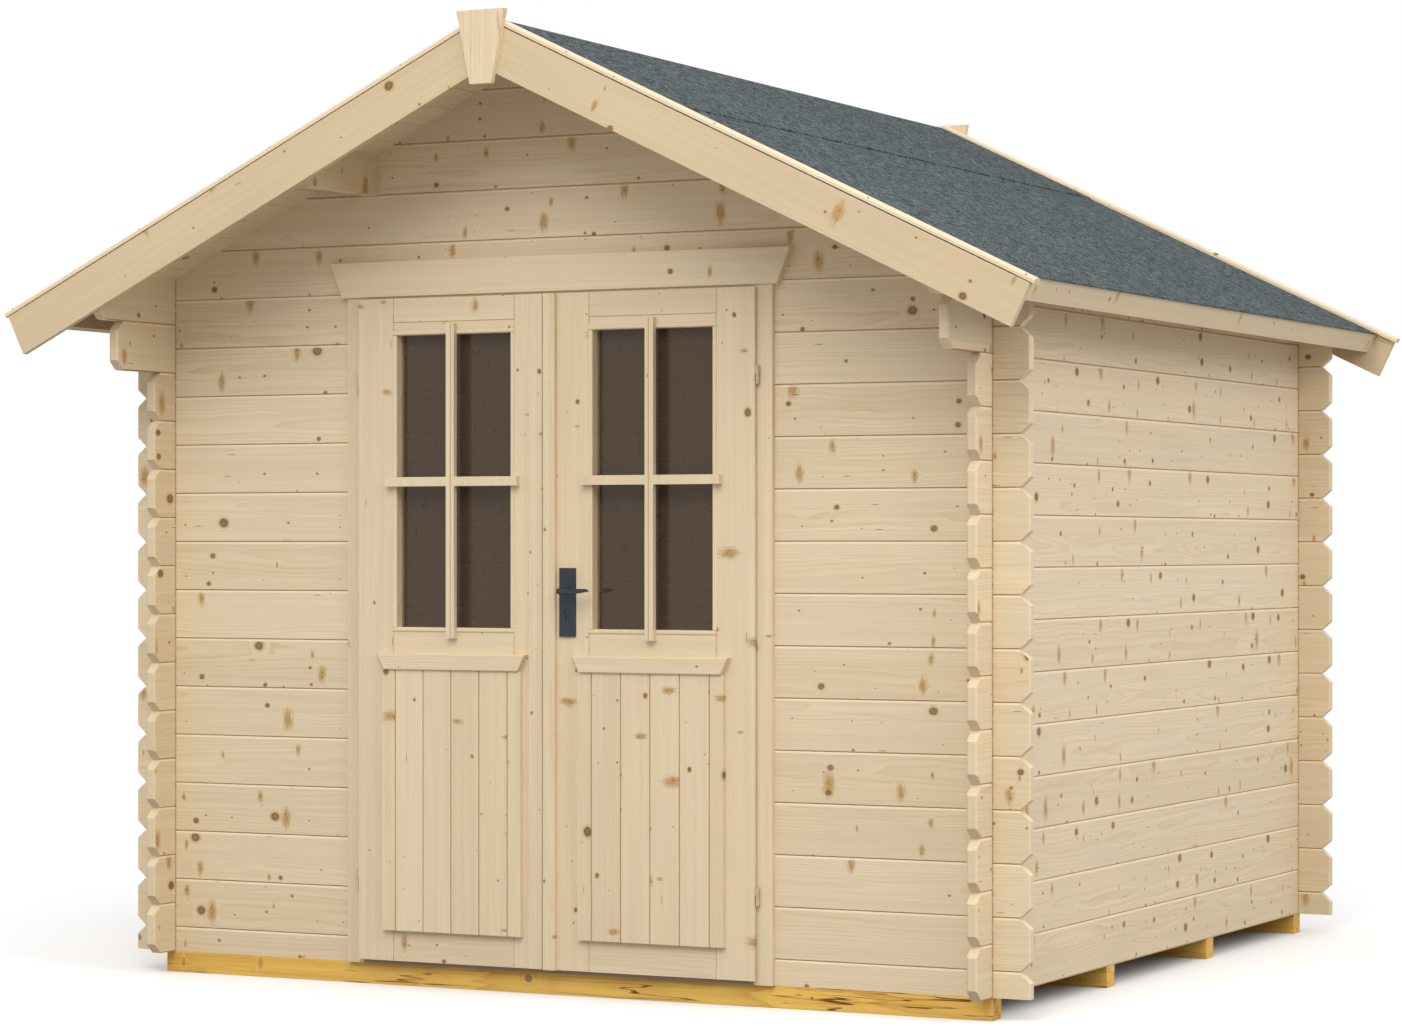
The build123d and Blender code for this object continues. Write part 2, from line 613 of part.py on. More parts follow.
def leaf_sill(side):
    """Board with slanted ends under the window of a leaf."""
    centre = side * WINDOW_CENTRE_X
    top = SILL_BOTTOM + SILL_HEIGHT
    points = [(centre - SILL_BOTTOM_HALF, SILL_BOTTOM), (centre + SILL_BOTTOM_HALF, SILL_BOTTOM),
              (centre + SILL_TOP_HALF, top), (centre - SILL_TOP_HALF, top)]
    board = prism_along_y(points, RIM_FRONT_Y - SILL_THICKNESS, RIM_FRONT_Y)
    front_edges = board.faces().sort_by(Axis.Y)[0].edges()
    return fillet(front_edges, EDGE_ROUNDING)


def leaf_glass(side):
    """Pane in the upper half of a leaf."""
    x0, x1 = between(side * (WINDOW_CENTRE_X - WINDOW_HALF_WIDTH),
                     side * (WINDOW_CENTRE_X + WINDOW_HALF_WIDTH))
    y0 = RIM_FRONT_Y + GLASS_DEPTH
    return block(x0, x1, y0, y0 + GLASS_THICKNESS, WINDOW_BOTTOM, WINDOW_TOP)


def leaf_beads(side):
    """Strips that hold the pane: rounded ones in front of it, square ones behind it."""
    glass_front = RIM_FRONT_Y + GLASS_DEPTH
    glass_back = glass_front + GLASS_THICKNESS
    front = []
    for bead in bead_frame(side, RIM_FRONT_Y - BEAD_PROUD, glass_front):
        face_edges = bead.faces().sort_by(Axis.Y)[0].edges()
        front.append(fillet(face_edges.sort_by(SortBy.LENGTH)[-2:], BEAD_ROUNDING))
    return front + bead_frame(side, glass_back, LEAF_BACK_Y)


def bead_frame(side, y0, y1):
    """Four square strips along the edges of a window, the level ones full width."""
    x0, x1 = between(side * (WINDOW_CENTRE_X - WINDOW_HALF_WIDTH),
                     side * (WINDOW_CENTRE_X + WINDOW_HALF_WIDTH))
    low = WINDOW_BOTTOM + BEAD_WIDTH
    high = WINDOW_TOP - BEAD_WIDTH
    return [block(x0, x1, y0, y1, WINDOW_BOTTOM, low),
            block(x0, x1, y0, y1, high, WINDOW_TOP),
            block(x0, x0 + BEAD_WIDTH, y0, y1, low + BEAD_GAP, high - BEAD_GAP),
            block(x1 - BEAD_WIDTH, x1, y0, y1, low + BEAD_GAP, high - BEAD_GAP)]


def leaf_bars(side):
    """Crossed glazing bars that lie over the window and lap onto the leaf."""
    centre = side * WINDOW_CENTRE_X
    half = BAR_WIDTH / 2
    x0 = centre - half
    x1 = centre + half
    z0 = CROSS_BAR_HEIGHT - half
    z1 = CROSS_BAR_HEIGHT + half
    low = WINDOW_BOTTOM - BAR_LAP
    high = WINDOW_TOP + BAR_LAP
    back = RIM_FRONT_Y - BEAD_PROUD
    front = back - BAR_THICKNESS
    reach = WINDOW_HALF_WIDTH + BAR_LAP
    bars = block(x0, x1, front, back, low, high)
    bars += block(centre - reach, centre + reach, front, back, z0, z1)
    bars += block(x0, x1, back, RIM_FRONT_Y, low, WINDOW_BOTTOM)
    bars += block(x0, x1, back, RIM_FRONT_Y, WINDOW_TOP, high)
    bars += block(centre - reach, centre - WINDOW_HALF_WIDTH, back, RIM_FRONT_Y, z0, z1)
    bars += block(centre + WINDOW_HALF_WIDTH, centre + reach, back, RIM_FRONT_Y, z0, z1)
    return bars


def meeting_strip():
    """Strip up the edge of the right leaf, beside the left one."""
    x1 = LEAF_MEETING_X + STRIP_WIDTH
    strip = block(LEAF_MEETING_X, x1, RIM_FRONT_Y - STRIP_THICKNESS, RIM_FRONT_Y, RIM_BOTTOM, RIM_TOP)
    return fillet(strip.faces().sort_by(Axis.Y)[0].edges().filter_by(Axis.Z), EDGE_ROUNDING)


def knuckle(x, y, radius, z0, z1):
    """Upright barrel or bore of a hinge, with many flat sides."""
    outline = Pos(x, y, BASE + z0) * RegularPolygon(radius, KNUCKLE_FACES)
    return extrude(outline, amount=z1 - z0, dir=(0, 0, 1))


def rod_along_y(x, z, radius, y0, y1):
    """Round rod lying along Y."""
    rod = Cylinder(radius, y1 - y0, align=(Align.CENTER, Align.CENTER, Align.MIN))
    return Pos(x, y1, BASE + z) * Rot(90, 0, 0) * rod


def hinge_pins():
    """Lower hinge halves, with their pins, screwed into the casings."""
    pins = []
    for side in (-1, 1):
        x = side * HINGE_X
        for z in HINGE_HEIGHTS:
            lower = knuckle(x, HINGE_Y, KNUCKLE_RADIUS, z - KNUCKLE_LENGTH, z)
            pin = Cylinder(PIN_RADIUS, PIN_LENGTH, align=(Align.CENTER, Align.CENTER, Align.MIN))
            pin = Pos(x, HINGE_Y, BASE + z) * pin
            stem = block(x - STEM_WIDTH / 2, x + STEM_WIDTH / 2, HINGE_Y, CASING_FRONT_Y,
                         z - KNUCKLE_LENGTH, z)
            pins.append(lower + stem + pin)
    return pins


def hinge_knuckles(side):
    """Upper hinge halves on a leaf's edge, which turn on the pins."""
    knuckles = []
    x = side * HINGE_X
    for z in HINGE_HEIGHTS:
        low = z + KNUCKLE_GAP
        upper = knuckle(x, HINGE_Y, KNUCKLE_RADIUS, low, low + KNUCKLE_LENGTH)
        x0, x1 = between(x, side * LEAF_EDGE)
        upper += block(x0, x1, HINGE_Y - STEM_WIDTH / 2, HINGE_Y + STEM_WIDTH / 2,
                       low, low + KNUCKLE_LENGTH)
        bore = knuckle(x, HINGE_Y, PIN_RADIUS + PIN_CLEARANCE, low - EPS,
                       z + PIN_LENGTH + PIN_END_GAP)
        knuckles.append(upper - bore)
    return knuckles


def spindle_bore(y0, y1):
    """Hole for the handle's spindle through the stile and the plates."""
    return rod_along_y(HANDLE_X, HANDLE_HEIGHT, NECK_RADIUS + SPINDLE_CLEARANCE, y0, y1)


def keyhole(y0, y1):
    """Outline of a lock cylinder, a circle over a narrower slot, cut along Y."""
    slot_low = KEYHOLE_HEIGHT - KEYHOLE_SLOT_DROP
    half = KEYHOLE_SLOT_WIDTH / 2
    return [rod_along_y(HANDLE_X, KEYHOLE_HEIGHT, KEYHOLE_RADIUS, y0, y1),
            block(HANDLE_X - half, HANDLE_X + half, y0, y1, slot_low, KEYHOLE_HEIGHT),
            rod_along_y(HANDLE_X, slot_low, half, y0, y1)]


def handle_plates():
    """Plates with a keyhole on the front and back of the right leaf."""
    plates = []
    x0 = HANDLE_X - PLATE_WIDTH / 2
    x1 = HANDLE_X + PLATE_WIDTH / 2
    for y0 in (RIM_FRONT_Y - PLATE_THICKNESS, LEAF_BACK_Y):
        y1 = y0 + PLATE_THICKNESS
        plate = block(x0, x1, y0, y1, PLATE_BOTTOM, PLATE_BOTTOM + PLATE_HEIGHT)
        plate -= spindle_bore(y0 - EPS, y1 + EPS)
        if y0 < FRONT:
            hole = keyhole(y0 - EPS, y0 + KEYHOLE_DEPTH)
        else:
            hole = keyhole(y1 - KEYHOLE_DEPTH, y1 + EPS)
        plates.append(plate - hole)
    return plates


def lever_grip(y0):
    """Grip of a lever, flat on top, whose lower side rises to a rounded nose."""
    half = LEVER_HEIGHT / 2
    tip = HANDLE_X + LEVER_LENGTH
    z = BASE + HANDLE_HEIGHT
    points = [(HANDLE_X - NECK_RADIUS, z - half), (tip - LEVER_TAPER_LENGTH, z - half),
              (tip, z - half + LEVER_TIP_RISE), (tip - LEVER_NOSE_LENGTH, z + half),
              (HANDLE_X - NECK_RADIUS, z + half)]
    outline = Polygon(*points, align=None)
    outline = fillet(outline.vertices().sort_by(Axis.X)[-1], LEVER_TIP_ROUNDING)
    grip = extrude(Plane.XZ.offset(-y0) * outline, amount=LEVER_THICKNESS, dir=(0, 1, 0))
    return chamfer(grip.faces().filter_by(Axis.Y).edges(), LEVER_BEVEL)


def door_handle():
    """Levers on both sides of the right leaf, joined by their spindle."""
    front = RIM_FRONT_Y - PLATE_THICKNESS - LEVER_REACH
    back = LEAF_BACK_Y + PLATE_THICKNESS + LEVER_REACH
    handle = rod_along_y(HANDLE_X, HANDLE_HEIGHT, NECK_RADIUS, front, back)
    for y0 in (front, back - LEVER_THICKNESS):
        handle += lever_grip(y0)
    return handle


def save(name, shapes):
    """Write one sub-part, of one or more separate solids."""
    if not isinstance(shapes, list):
        shapes = [shapes]
    solids = [solid for shape in shapes for solid in shape.solids()]
    body = solids[0] if len(solids) == 1 else Compound(children=solids)
    export_step(body, f"parts/{name}.step")
    print(name, len(solids))


def main():
    save("foundation_beams", foundation_beams())
    save("floor_boards", floor_boards())
    save("front_wall_left", front_wall_side(-1))
    save("front_wall_right", front_wall_side(1))
    save("front_gable", front_gable())
    save("rear_wall", rear_wall())
    save("left_wall", side_wall(-1))
    save("right_wall", side_wall(1))
    save("purlins", purlins())
    save("roof_boards_left", roof_boards(-1))
    save("roof_boards_right", roof_boards(1))
    save("felt_left", roof_felt(-1))
    save("felt_right", roof_felt(1))
    front_edge = FRONT - FRONT_OVERHANG
    rear_edge = REAR + REAR_OVERHANG
    save("front_bargeboards", bargeboards(front_edge, ROOF_FRONT))
    save("rear_bargeboards", bargeboards(ROOF_REAR, rear_edge))
    save("front_battens", verge_battens(front_edge, front_edge + BATTEN_WIDTH))
    save("rear_battens", verge_battens(rear_edge - BATTEN_WIDTH, rear_edge))
    save("front_ridge_board", ridge_board(front_edge - TRIM_THICKNESS, front_edge))
    save("rear_ridge_board", ridge_board(rear_edge, rear_edge + TRIM_THICKNESS))
    save("eaves_boards", eaves_boards())
    save("door_jambs", door_jambs())
    save("door_head", door_head())
    save("door_threshold", door_threshold())
    save("door_casings", door_casings())
    save("inner_casings", inner_casings())
    save("head_board", head_board())
    save("hinge_pins", hinge_pins())
    for side, name in ((-1, "left"), (1, "right")):
        save(name + "_leaf_stiles", leaf_stiles(side))
        save(name + "_leaf_rails", leaf_rails(side))
        save(name + "_leaf_panel", leaf_panel(side))
        save(name + "_leaf_sill", leaf_sill(side))
        save(name + "_leaf_glass", leaf_glass(side))
        save(name + "_leaf_beads", leaf_beads(side))
        save(name + "_leaf_bars", leaf_bars(side))
        save(name + "_leaf_hinges", hinge_knuckles(side))
    save("meeting_strip", meeting_strip())
    save("handle_plates", handle_plates())
    save("door_handle", door_handle())


main()
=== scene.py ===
import math
import random
from collections import namedtuple

import bmesh
import bpy
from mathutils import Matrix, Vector


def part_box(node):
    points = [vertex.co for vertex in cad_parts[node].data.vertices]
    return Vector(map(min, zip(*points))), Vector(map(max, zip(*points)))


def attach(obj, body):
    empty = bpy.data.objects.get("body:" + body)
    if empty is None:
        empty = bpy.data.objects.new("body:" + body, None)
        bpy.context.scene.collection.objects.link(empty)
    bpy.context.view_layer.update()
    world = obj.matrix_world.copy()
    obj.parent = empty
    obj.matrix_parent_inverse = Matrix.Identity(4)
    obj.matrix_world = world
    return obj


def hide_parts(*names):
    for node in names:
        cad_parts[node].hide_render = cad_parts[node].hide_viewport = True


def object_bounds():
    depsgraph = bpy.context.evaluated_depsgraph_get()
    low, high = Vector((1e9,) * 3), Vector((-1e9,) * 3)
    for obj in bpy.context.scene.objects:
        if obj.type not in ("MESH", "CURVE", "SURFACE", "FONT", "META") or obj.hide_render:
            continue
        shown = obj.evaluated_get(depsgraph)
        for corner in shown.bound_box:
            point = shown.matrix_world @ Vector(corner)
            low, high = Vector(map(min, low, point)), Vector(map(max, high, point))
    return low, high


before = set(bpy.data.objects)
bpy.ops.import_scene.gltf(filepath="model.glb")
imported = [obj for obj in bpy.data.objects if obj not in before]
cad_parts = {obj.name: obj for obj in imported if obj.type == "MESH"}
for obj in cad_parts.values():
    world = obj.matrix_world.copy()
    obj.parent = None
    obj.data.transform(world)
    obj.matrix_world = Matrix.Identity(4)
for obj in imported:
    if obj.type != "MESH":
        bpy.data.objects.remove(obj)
cad_low, cad_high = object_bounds()
random.seed(41)

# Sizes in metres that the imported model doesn't state by itself
LOG_HEIGHT = 0.135
LOG_FOOT = 0.058
ROOF_PITCH = math.radians(25.8)
PANEL_BOARD = 0.087
PANEL_JOINTS_BACK = 10
LEAF_CENTRE = 0.3015
BEAM_PITCH = 0.81
ROOF_PLANK = 0.093
ROOF_PLANK_THICKNESS = 0.018
FLOOR_PLANK = 0.093
PLANK_GAP = 0.0012
PLANK_BEVEL = 0.0022
FELT_LAP_REACH = 0.572
FELT_LAP_THICKNESS = 0.003
FELT_SHEET_GAP = 0.0004
BATTEN_ROUNDING = 0.009
COVER_STRIP_WIDTH = 0.040
COVER_STRIP_THICKNESS = 0.004
COVER_STRIP_BEVEL = 0.0008
NAIL_RADIUS = 0.0035
NAIL_HEIGHT = 0.0007
NAIL_TAPER = 0.55
NAIL_SIDES = 14
NAIL_INSET = 0.028
NAIL_STRAY = 0.01
NAILS_A_SLOPE = 4
RIDGE_TO_FIRST_NAIL = 0.30
EDGE_ROUNDING = 0.0015

# Numbers that the boards of each group count from, so that no two have the same grain
LEFT_ROOF_BOARDS = 50
FLOOR_BOARDS = 100
COVER_STRIP_BOARD = 160
LEAF_SEED_STEP = 200.0

# Marks strewn over the wood, at most one a cell: the cell along and across the grain, the share
# of cells that have one, how much taller than long it is, and the smallest radius and its growth
Marks = namedtuple("Marks", "cell share stretch radius growth")
DARK_KNOTS = Marks((0.27, 0.0675), 0.30, 0.85, 0.0048, 0.0070)
SOUND_KNOTS = Marks((0.25, 0.078), 0.46, 2.0, 0.0080, 0.0260)
PIN_KNOTS = Marks((0.085, 0.045), 0.22, 0.8, 0.0016, 0.0030)
POCKETS = Marks((0.40, 0.090), 0.22, 0.075, 0.0, 0.0)
FEWEST_KNOTS, MOST_KNOTS = 0.30, 1.70
PANEL_SEAM_SHARPNESS = 2.6

# Studio: lamps as (place, size, power), the sky's strength at its edge and top, and the floor
FRONT_KEY = ((2.2, -9.6, 8.8), 7.5, 640.0)
SIDE_KEY = ((10.4, -2.8, 7.0), 7.0, 465.0)
LAMP_TARGET = (0, 0, 1.2)
SKY_EDGE, SKY_TOP = 0.58, 1.20
FLOOR_TONE = 0.92
FLOOR_DIMMING = 0.60
FLOOR_RADIUS = 9.0
FLOOR_DROP = 0.0005
SHADOW_FLOOR_REACH, WHITE_FLOOR_REACH = 1.9, 4.2

# Base colours, linear
SPRUCE = (0.762, 0.632, 0.437)
SPRUCE_DARK = (0.60, 0.44, 0.255)
# dark brown threshold wood, which also paints the shadow gap under the door leaves
DARK_WOOD_AND_SHADE = (0.34, 0.265, 0.19)
DARKER_WOOD_AND_SHADE = (0.21, 0.155, 0.10)
GOLDEN = (0.90, 0.575, 0.125)
GOLDEN_DARK = (0.50, 0.23, 0.035)
KNOT_CORE = (0.30, 0.19, 0.10)
KNOT_RIM = (0.095, 0.055, 0.025)
SOUND_KNOT = (0.47, 0.27, 0.08)
SPECK = (0.22, 0.105, 0.032)
JOINT = (0.40, 0.215, 0.095)
# painted highlight: the light tone of the logs' upper lips, where they catch the light
PAINTED_LIP_HIGHLIGHT = (0.86, 0.74, 0.55)
# on the right wall this paler, cooler spruce paints the cooler light falling on that side
SPRUCE_PALE = (0.765, 0.643, 0.458)
# darker copy of spruce that paints shade on the bargeboards and eaves boards
SPRUCE_PAINTED_SHADE = (0.675, 0.552, 0.375)
FELT = (0.062, 0.076, 0.077)


class Tree:
    """Short calls for building the node tree of one material."""

    def __init__(self, name):
        self.material = bpy.data.materials.new(name)
        self.material.use_nodes = True
        self.tree = self.material.node_tree
        self.tree.nodes.clear()
        self.output = self.tree.nodes.new("ShaderNodeOutputMaterial")

    def node(self, kind, inputs=None, **settings):
        made = self.tree.nodes.new(kind)
        for key, value in settings.items():
            setattr(made, key, value)
        for key, value in (inputs or {}).items():
            self.feed(made.inputs[key], value)
        return made

    def feed(self, socket, value):
        if isinstance(value, bpy.types.NodeSocket):
            self.tree.links.new(value, socket)
        elif isinstance(value, tuple) and len(value) == 3 and socket.type == "RGBA":
            socket.default_value = (*value, 1.0)
        else:
            socket.default_value = value

    def math(self, operation, a, b=0.0, c=0.0, clamp=False):
        made = self.node("ShaderNodeMath", {0: a, 1: b, 2: c}, operation=operation, use_clamp=clamp)
        return made.outputs[0]

    def length(self, x, y):
        square = self.math("ADD", self.math("MULTIPLY", x, x), self.math("MULTIPLY", y, y))
        return self.math("SQRT", square)

    def smooth(self, value, low, high, out_low=0.0, out_high=1.0):
        inputs = {"Value": value, "From Min": low, "From Max": high, "To Min": out_low, "To Max": out_high}
        return self.node("ShaderNodeMapRange", inputs, interpolation_type="SMOOTHSTEP").outputs[0]

    def linear(self, value, low, high, out_low=0.0, out_high=1.0):
        inputs = {"Value": value, "From Min": low, "From Max": high, "To Min": out_low, "To Max": out_high}
        return self.node("ShaderNodeMapRange", inputs).outputs[0]

    def vector(self, x=0.0, y=0.0, z=0.0):
        return self.node("ShaderNodeCombineXYZ", {0: x, 1: y, 2: z}).outputs[0]

    def noise(self, vector, scale, detail=2.0, roughness=0.5):
        inputs = {"Vector": vector, "Scale": scale, "Detail": detail, "Roughness": roughness}
        return self.node("ShaderNodeTexNoise", inputs).outputs["Fac"]

    def mix(self, factor, a, b, blend="MIX"):
        made = self.node("ShaderNodeMix", data_type="RGBA", blend_type=blend)
        self.feed(made.inputs[0], factor)
        self.feed(made.inputs[6], a)
        self.feed(made.inputs[7], b)
        return made.outputs[2]

    def scale_colour(self, colour, factor):
        made = self.node("ShaderNodeVectorMath", {0: colour, "Scale": factor}, operation="SCALE")
        return made.outputs[0]

    def surface(self, colour, roughness, bump=None, strength=0.3, distance=0.001, **constants):
        shader = self.node("ShaderNodeBsdfPrincipled", {"Base Color": colour, "Roughness": roughness})
        for key, value in constants.items():
            shader.inputs[key.replace("_", " ")].default_value = value
        if bump is not None:
            inputs = {"Height": bump, "Strength": strength, "Distance": distance}
            normal = self.node("ShaderNodeBump", inputs).outputs[0]
            self.feed(shader.inputs["Normal"], normal)
        self.feed(self.output.inputs["Surface"], shader.outputs[0])
        return shader


def grain_frame(tree, axis, split, face):
    """Coordinates along the grain, across it and behind the face, how far the surface looks
    along the grain, a number for each board and the distance from the nearest joint."""
    coordinates = tree.node("ShaderNodeTexCoord")
    x, y, z = tree.node("ShaderNodeSeparateXYZ", {0: coordinates.outputs["Object"]}).outputs
    nx, ny, nz = tree.node("ShaderNodeSeparateXYZ", {0: coordinates.outputs["Normal"]}).outputs
    side = tree.math("SIGN", x)
    reach = tree.math("ABSOLUTE", x)
    if axis == "X":
        along, across, through, facing = x, z, y, nx
    elif axis == "Y":
        along, across, through, facing = y, z, x, ny
    elif axis == "Z":
        along, across, through, facing = z, x, y, nz
    else:
        drop = tree.math("MULTIPLY", z, -math.sin(ROOF_PITCH))
        along = tree.math("MULTIPLY_ADD", reach, math.cos(ROOF_PITCH), drop)
        rise = tree.math("MULTIPLY", z, math.cos(ROOF_PITCH))
        across = tree.math("MULTIPLY_ADD", reach, math.sin(ROOF_PITCH), rise)
        through, facing = y, tree.math("MULTIPLY", nx, math.cos(ROOF_PITCH))
    behind = tree.math("SUBTRACT", tree.math("ABSOLUTE", through), face)
    board, joint = (1.0 if axis == "X" else side), None
    if split in ("courses", "half courses"):
        shift = -LOG_FOOT if split == "courses" else -LOG_FOOT - LOG_HEIGHT / 2
        course = tree.math("DIVIDE", tree.math("ADD", z, shift), LOG_HEIGHT)
        board = tree.math("FLOOR", course)
        within = tree.math("SUBTRACT", tree.math("FRACT", course), 0.5)
        across = tree.math("MULTIPLY", within, LOG_HEIGHT)
        joint = tree.math("ADD", across, LOG_HEIGHT / 2)
    elif split == "beams":
        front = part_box("foundation_beams")[0].y
        board = tree.math("FLOOR", tree.math("DIVIDE", tree.math("SUBTRACT", y, front), BEAM_PITCH))
    elif split is not None:
        coordinate, start, pitch = split
        source = {"z": z, "|x|": reach}[coordinate]
        place = tree.math("DIVIDE", tree.math("SUBTRACT", source, start), pitch)
        board = tree.math("MULTIPLY_ADD", side, 17.0, tree.math("FLOOR", place))
        within = tree.math("ABSOLUTE", tree.math("SUBTRACT", tree.math("FRACT", place), 0.5))
        joint = tree.math("MULTIPLY", tree.math("SUBTRACT", 0.5, within), pitch * PANEL_SEAM_SHARPNESS)
    return along, across, behind, tree.math("ABSOLUTE", facing), board, joint


def plank_frame(tree):
    """The same from what a board mesh of this script carries in its own attributes."""
    place = tree.node("ShaderNodeAttribute", attribute_name="grain").outputs["Vector"]
    along, across, through = tree.node("ShaderNodeSeparateXYZ", {0: place}).outputs
    board = tree.node("ShaderNodeAttribute", attribute_name="board").outputs["Fac"]
    return along, across, through, 0.0, board, None


def strew(tree, u, across, marks, amount):
    """Marks strewn over a board: the distance from the nearest, whether it's there, its radius and
    a number for its tint."""
    cell_long, cell_wide = marks.cell
    flat = tree.vector(tree.math("DIVIDE", u, cell_long), tree.math("DIVIDE", across, cell_wide))
    cells = tree.node("ShaderNodeTexVoronoi", {"Vector": flat, "Scale": 1.0, "Randomness": 0.8},
                      voronoi_dimensions="2D")
    away = tree.node("ShaderNodeVectorMath", {0: flat, 1: cells.outputs["Position"]}, operation="SUBTRACT")
    dx, dy, _ = tree.node("ShaderNodeSeparateXYZ", {0: away.outputs[0]}).outputs
    dx = tree.math("MULTIPLY", dx, cell_long * marks.stretch)
    dy = tree.math("MULTIPLY", dy, cell_wide)
    pick, size, tint = tree.node("ShaderNodeSeparateColor", {0: cells.outputs["Color"]}).outputs
    there = tree.math("LESS_THAN", pick, tree.math("MULTIPLY", amount, marks.share))
    radius = tree.math("MULTIPLY_ADD", tree.math("MULTIPLY", size, size), marks.growth, marks.radius)
    return tree.length(dx, dy), there, radius, tint


def stretched_noise(tree, place, scales, detail=2.0, roughness=0.5):
    """Noise over grain coordinates, each with a scale of its own."""
    parts = [tree.math("MULTIPLY", part, scale) for part, scale in zip(place, scales)]
    return tree.noise(tree.vector(*parts), 1.0, detail, roughness)


def wood(name, axis="X", split=None, face=0.0, seed=0.0, light=SPRUCE, dark=SPRUCE_DARK, knots=1.0,
         cracks=0.0, crossing=None, contrast=1.0):
    """Planed softwood: growth rings round a pith behind the face, fibres, knots and joint lines.
    A crossing, (middle, distance, half width), gives two lines on each side of its middle, where
    another board passes through or ends."""
    tree = Tree(name)
    if axis == "planks":
        along, across, behind, end, board, joint = plank_frame(tree)
    else:
        along, across, behind, end, board, joint = grain_frame(tree, axis, split, face)
    number = tree.math("ADD", board, seed)
    white = tree.node("ShaderNodeTexWhiteNoise", {"W": number}, noise_dimensions="1D")
    r1, r2, r3 = tree.node("ShaderNodeSeparateColor", {0: white.outputs["Color"]}).outputs
    shift = tree.math("MULTIPLY_ADD", r1, 31.0, tree.math("MULTIPLY", number, 3.7))
    u = tree.math("ADD", along, shift)
    place = (u, across, behind)
    on_face = tree.smooth(end, 0.3, 0.6, 1.0, 0.0)

    # Dark knots with a darker rim; some boards have many knots and others few
    amount = tree.linear(r3, 0.0, 1.0, FEWEST_KNOTS * knots, MOST_KNOTS * knots)
    wobble = stretched_noise(tree, place, (170.0, 170.0, 60.0))
    reach, there, radius, tint = strew(tree, u, across, DARK_KNOTS, amount)
    present = tree.math("MULTIPLY", there, on_face)
    edge = tree.math("MULTIPLY_ADD", wobble, 0.0036, tree.math("SUBTRACT", reach, 0.0018))
    share = tree.math("DIVIDE", edge, radius)
    knot = tree.math("MULTIPLY", tree.smooth(share, 0.85, 1.15, 1.0, 0.0), present)
    rim = tree.math("MULTIPLY", tree.smooth(share, 0.55, 0.98), knot)
    halo = tree.math("MULTIPLY", tree.smooth(share, 0.9, 1.9, 1.0, 0.0), present)
    swell = tree.math("MULTIPLY", tree.smooth(share, 0.0, 3.4, 1.0, 0.0), present)

    # Sound knots, ochre and feathered across the grain, with specks
    feather = stretched_noise(tree, place, (330.0, 38.0, 20.0), 3.0, 0.65)
    reach, there, radius, _ = strew(tree, u, across, SOUND_KNOTS, amount)
    present = tree.math("MULTIPLY", there, on_face)
    radius = tree.math("MULTIPLY", radius, tree.linear(feather, 0.3, 0.7, 0.55, 1.5))
    share = tree.math("DIVIDE", reach, radius)
    sound = tree.math("MULTIPLY", tree.smooth(share, 0.25, 1.35, 1.0, 0.0), present)
    speck = tree.math("MULTIPLY", tree.smooth(wobble, 0.56, 0.66), tree.math("MULTIPLY", sound, sound))
    swell = tree.math("ADD", swell, tree.math("MULTIPLY", tree.smooth(share, 0.0, 2.4, 0.7, 0.0), present))

    # Pin knots and short dark pockets along the grain
    reach, there, radius, _ = strew(tree, u, across, PIN_KNOTS, amount)
    pin = tree.smooth(tree.math("DIVIDE", reach, radius), 0.6, 1.35, 1.0, 0.0)
    pin = tree.math("MULTIPLY", tree.math("MULTIPLY", pin, there), on_face)
    reach, there, _, _ = strew(tree, u, across, POCKETS, knots)
    pocket = tree.smooth(reach, 0.0005, 0.0013, 0.8, 0.0)
    pocket = tree.math("MULTIPLY", tree.math("MULTIPLY", pocket, there), on_face)

    # Growth rings, bent round the knots
    drift = stretched_noise(tree, (u, number, 0.0), (0.9, 1.0, 1.0))
    depth = stretched_noise(tree, (u, number, 7.0), (0.7, 1.0, 1.0))
    pith_across = tree.math("MULTIPLY_ADD", tree.math("SUBTRACT", r2, 0.5), 0.16,
                            tree.math("MULTIPLY", tree.math("SUBTRACT", drift, 0.5), 0.11))
    pith_depth = tree.math("MULTIPLY_ADD", r3, 0.055, tree.math("MULTIPLY", depth, 0.050))
    v = tree.math("ADD", across, pith_across)
    w = tree.math("ADD", behind, pith_depth)
    ring_radius = tree.length(v, w)
    waves = stretched_noise(tree, place, (2.6, 22.0, 1.0), 3.0)
    ring_radius = tree.math("MULTIPLY_ADD", waves, 0.011, ring_radius)
    ring_radius = tree.math("MULTIPLY_ADD", swell, 0.010, ring_radius)
    spacing = tree.linear(r1, 0.0, 1.0, 0.0036, 0.0076)
    phase = tree.math("FRACT", tree.math("DIVIDE", ring_radius, spacing))
    late = tree.math("MULTIPLY", tree.math("POWER", phase, 2.6), tree.smooth(phase, 0.93, 1.0, 1.0, 0.0))

    # Fibres, slow changes of tone and each board's own tint
    fine = stretched_noise(tree, place, (9.0, 620.0, 620.0))
    streaks = stretched_noise(tree, place, (1.3, 70.0, 40.0), 4.0, 0.65)
    clouds = tree.noise(tree.vector(u, tree.math("MULTIPLY", across, 3.0), number), 3.0, 2.0)
    tone = tree.linear(streaks, 0.25, 0.75, 0.0, 0.44)
    strength = tree.linear(clouds, 0.35, 0.65, 0.18, 0.58)
    tone = tree.math("MULTIPLY_ADD", late, strength, tone)
    tone = tree.math("MULTIPLY_ADD", tree.math("SUBTRACT", fine, 0.5), 0.20, tone)
    tone = tree.math("MULTIPLY_ADD", tree.math("SUBTRACT", r3, 0.5), 0.19, tone)
    tone = tree.math("MULTIPLY", tone, contrast, clamp=True)
    colour = tree.mix(tone, light, dark)
    level = tree.math("MULTIPLY_ADD", tree.math("SUBTRACT", r2, 0.5), 0.055, 1.0)
    level = tree.math("MULTIPLY_ADD", tree.math("SUBTRACT", clouds, 0.5), 0.18, level)
    colour = tree.scale_colour(colour, level)
    colour = tree.mix(tree.math("MULTIPLY", end, 0.16), colour, dark)
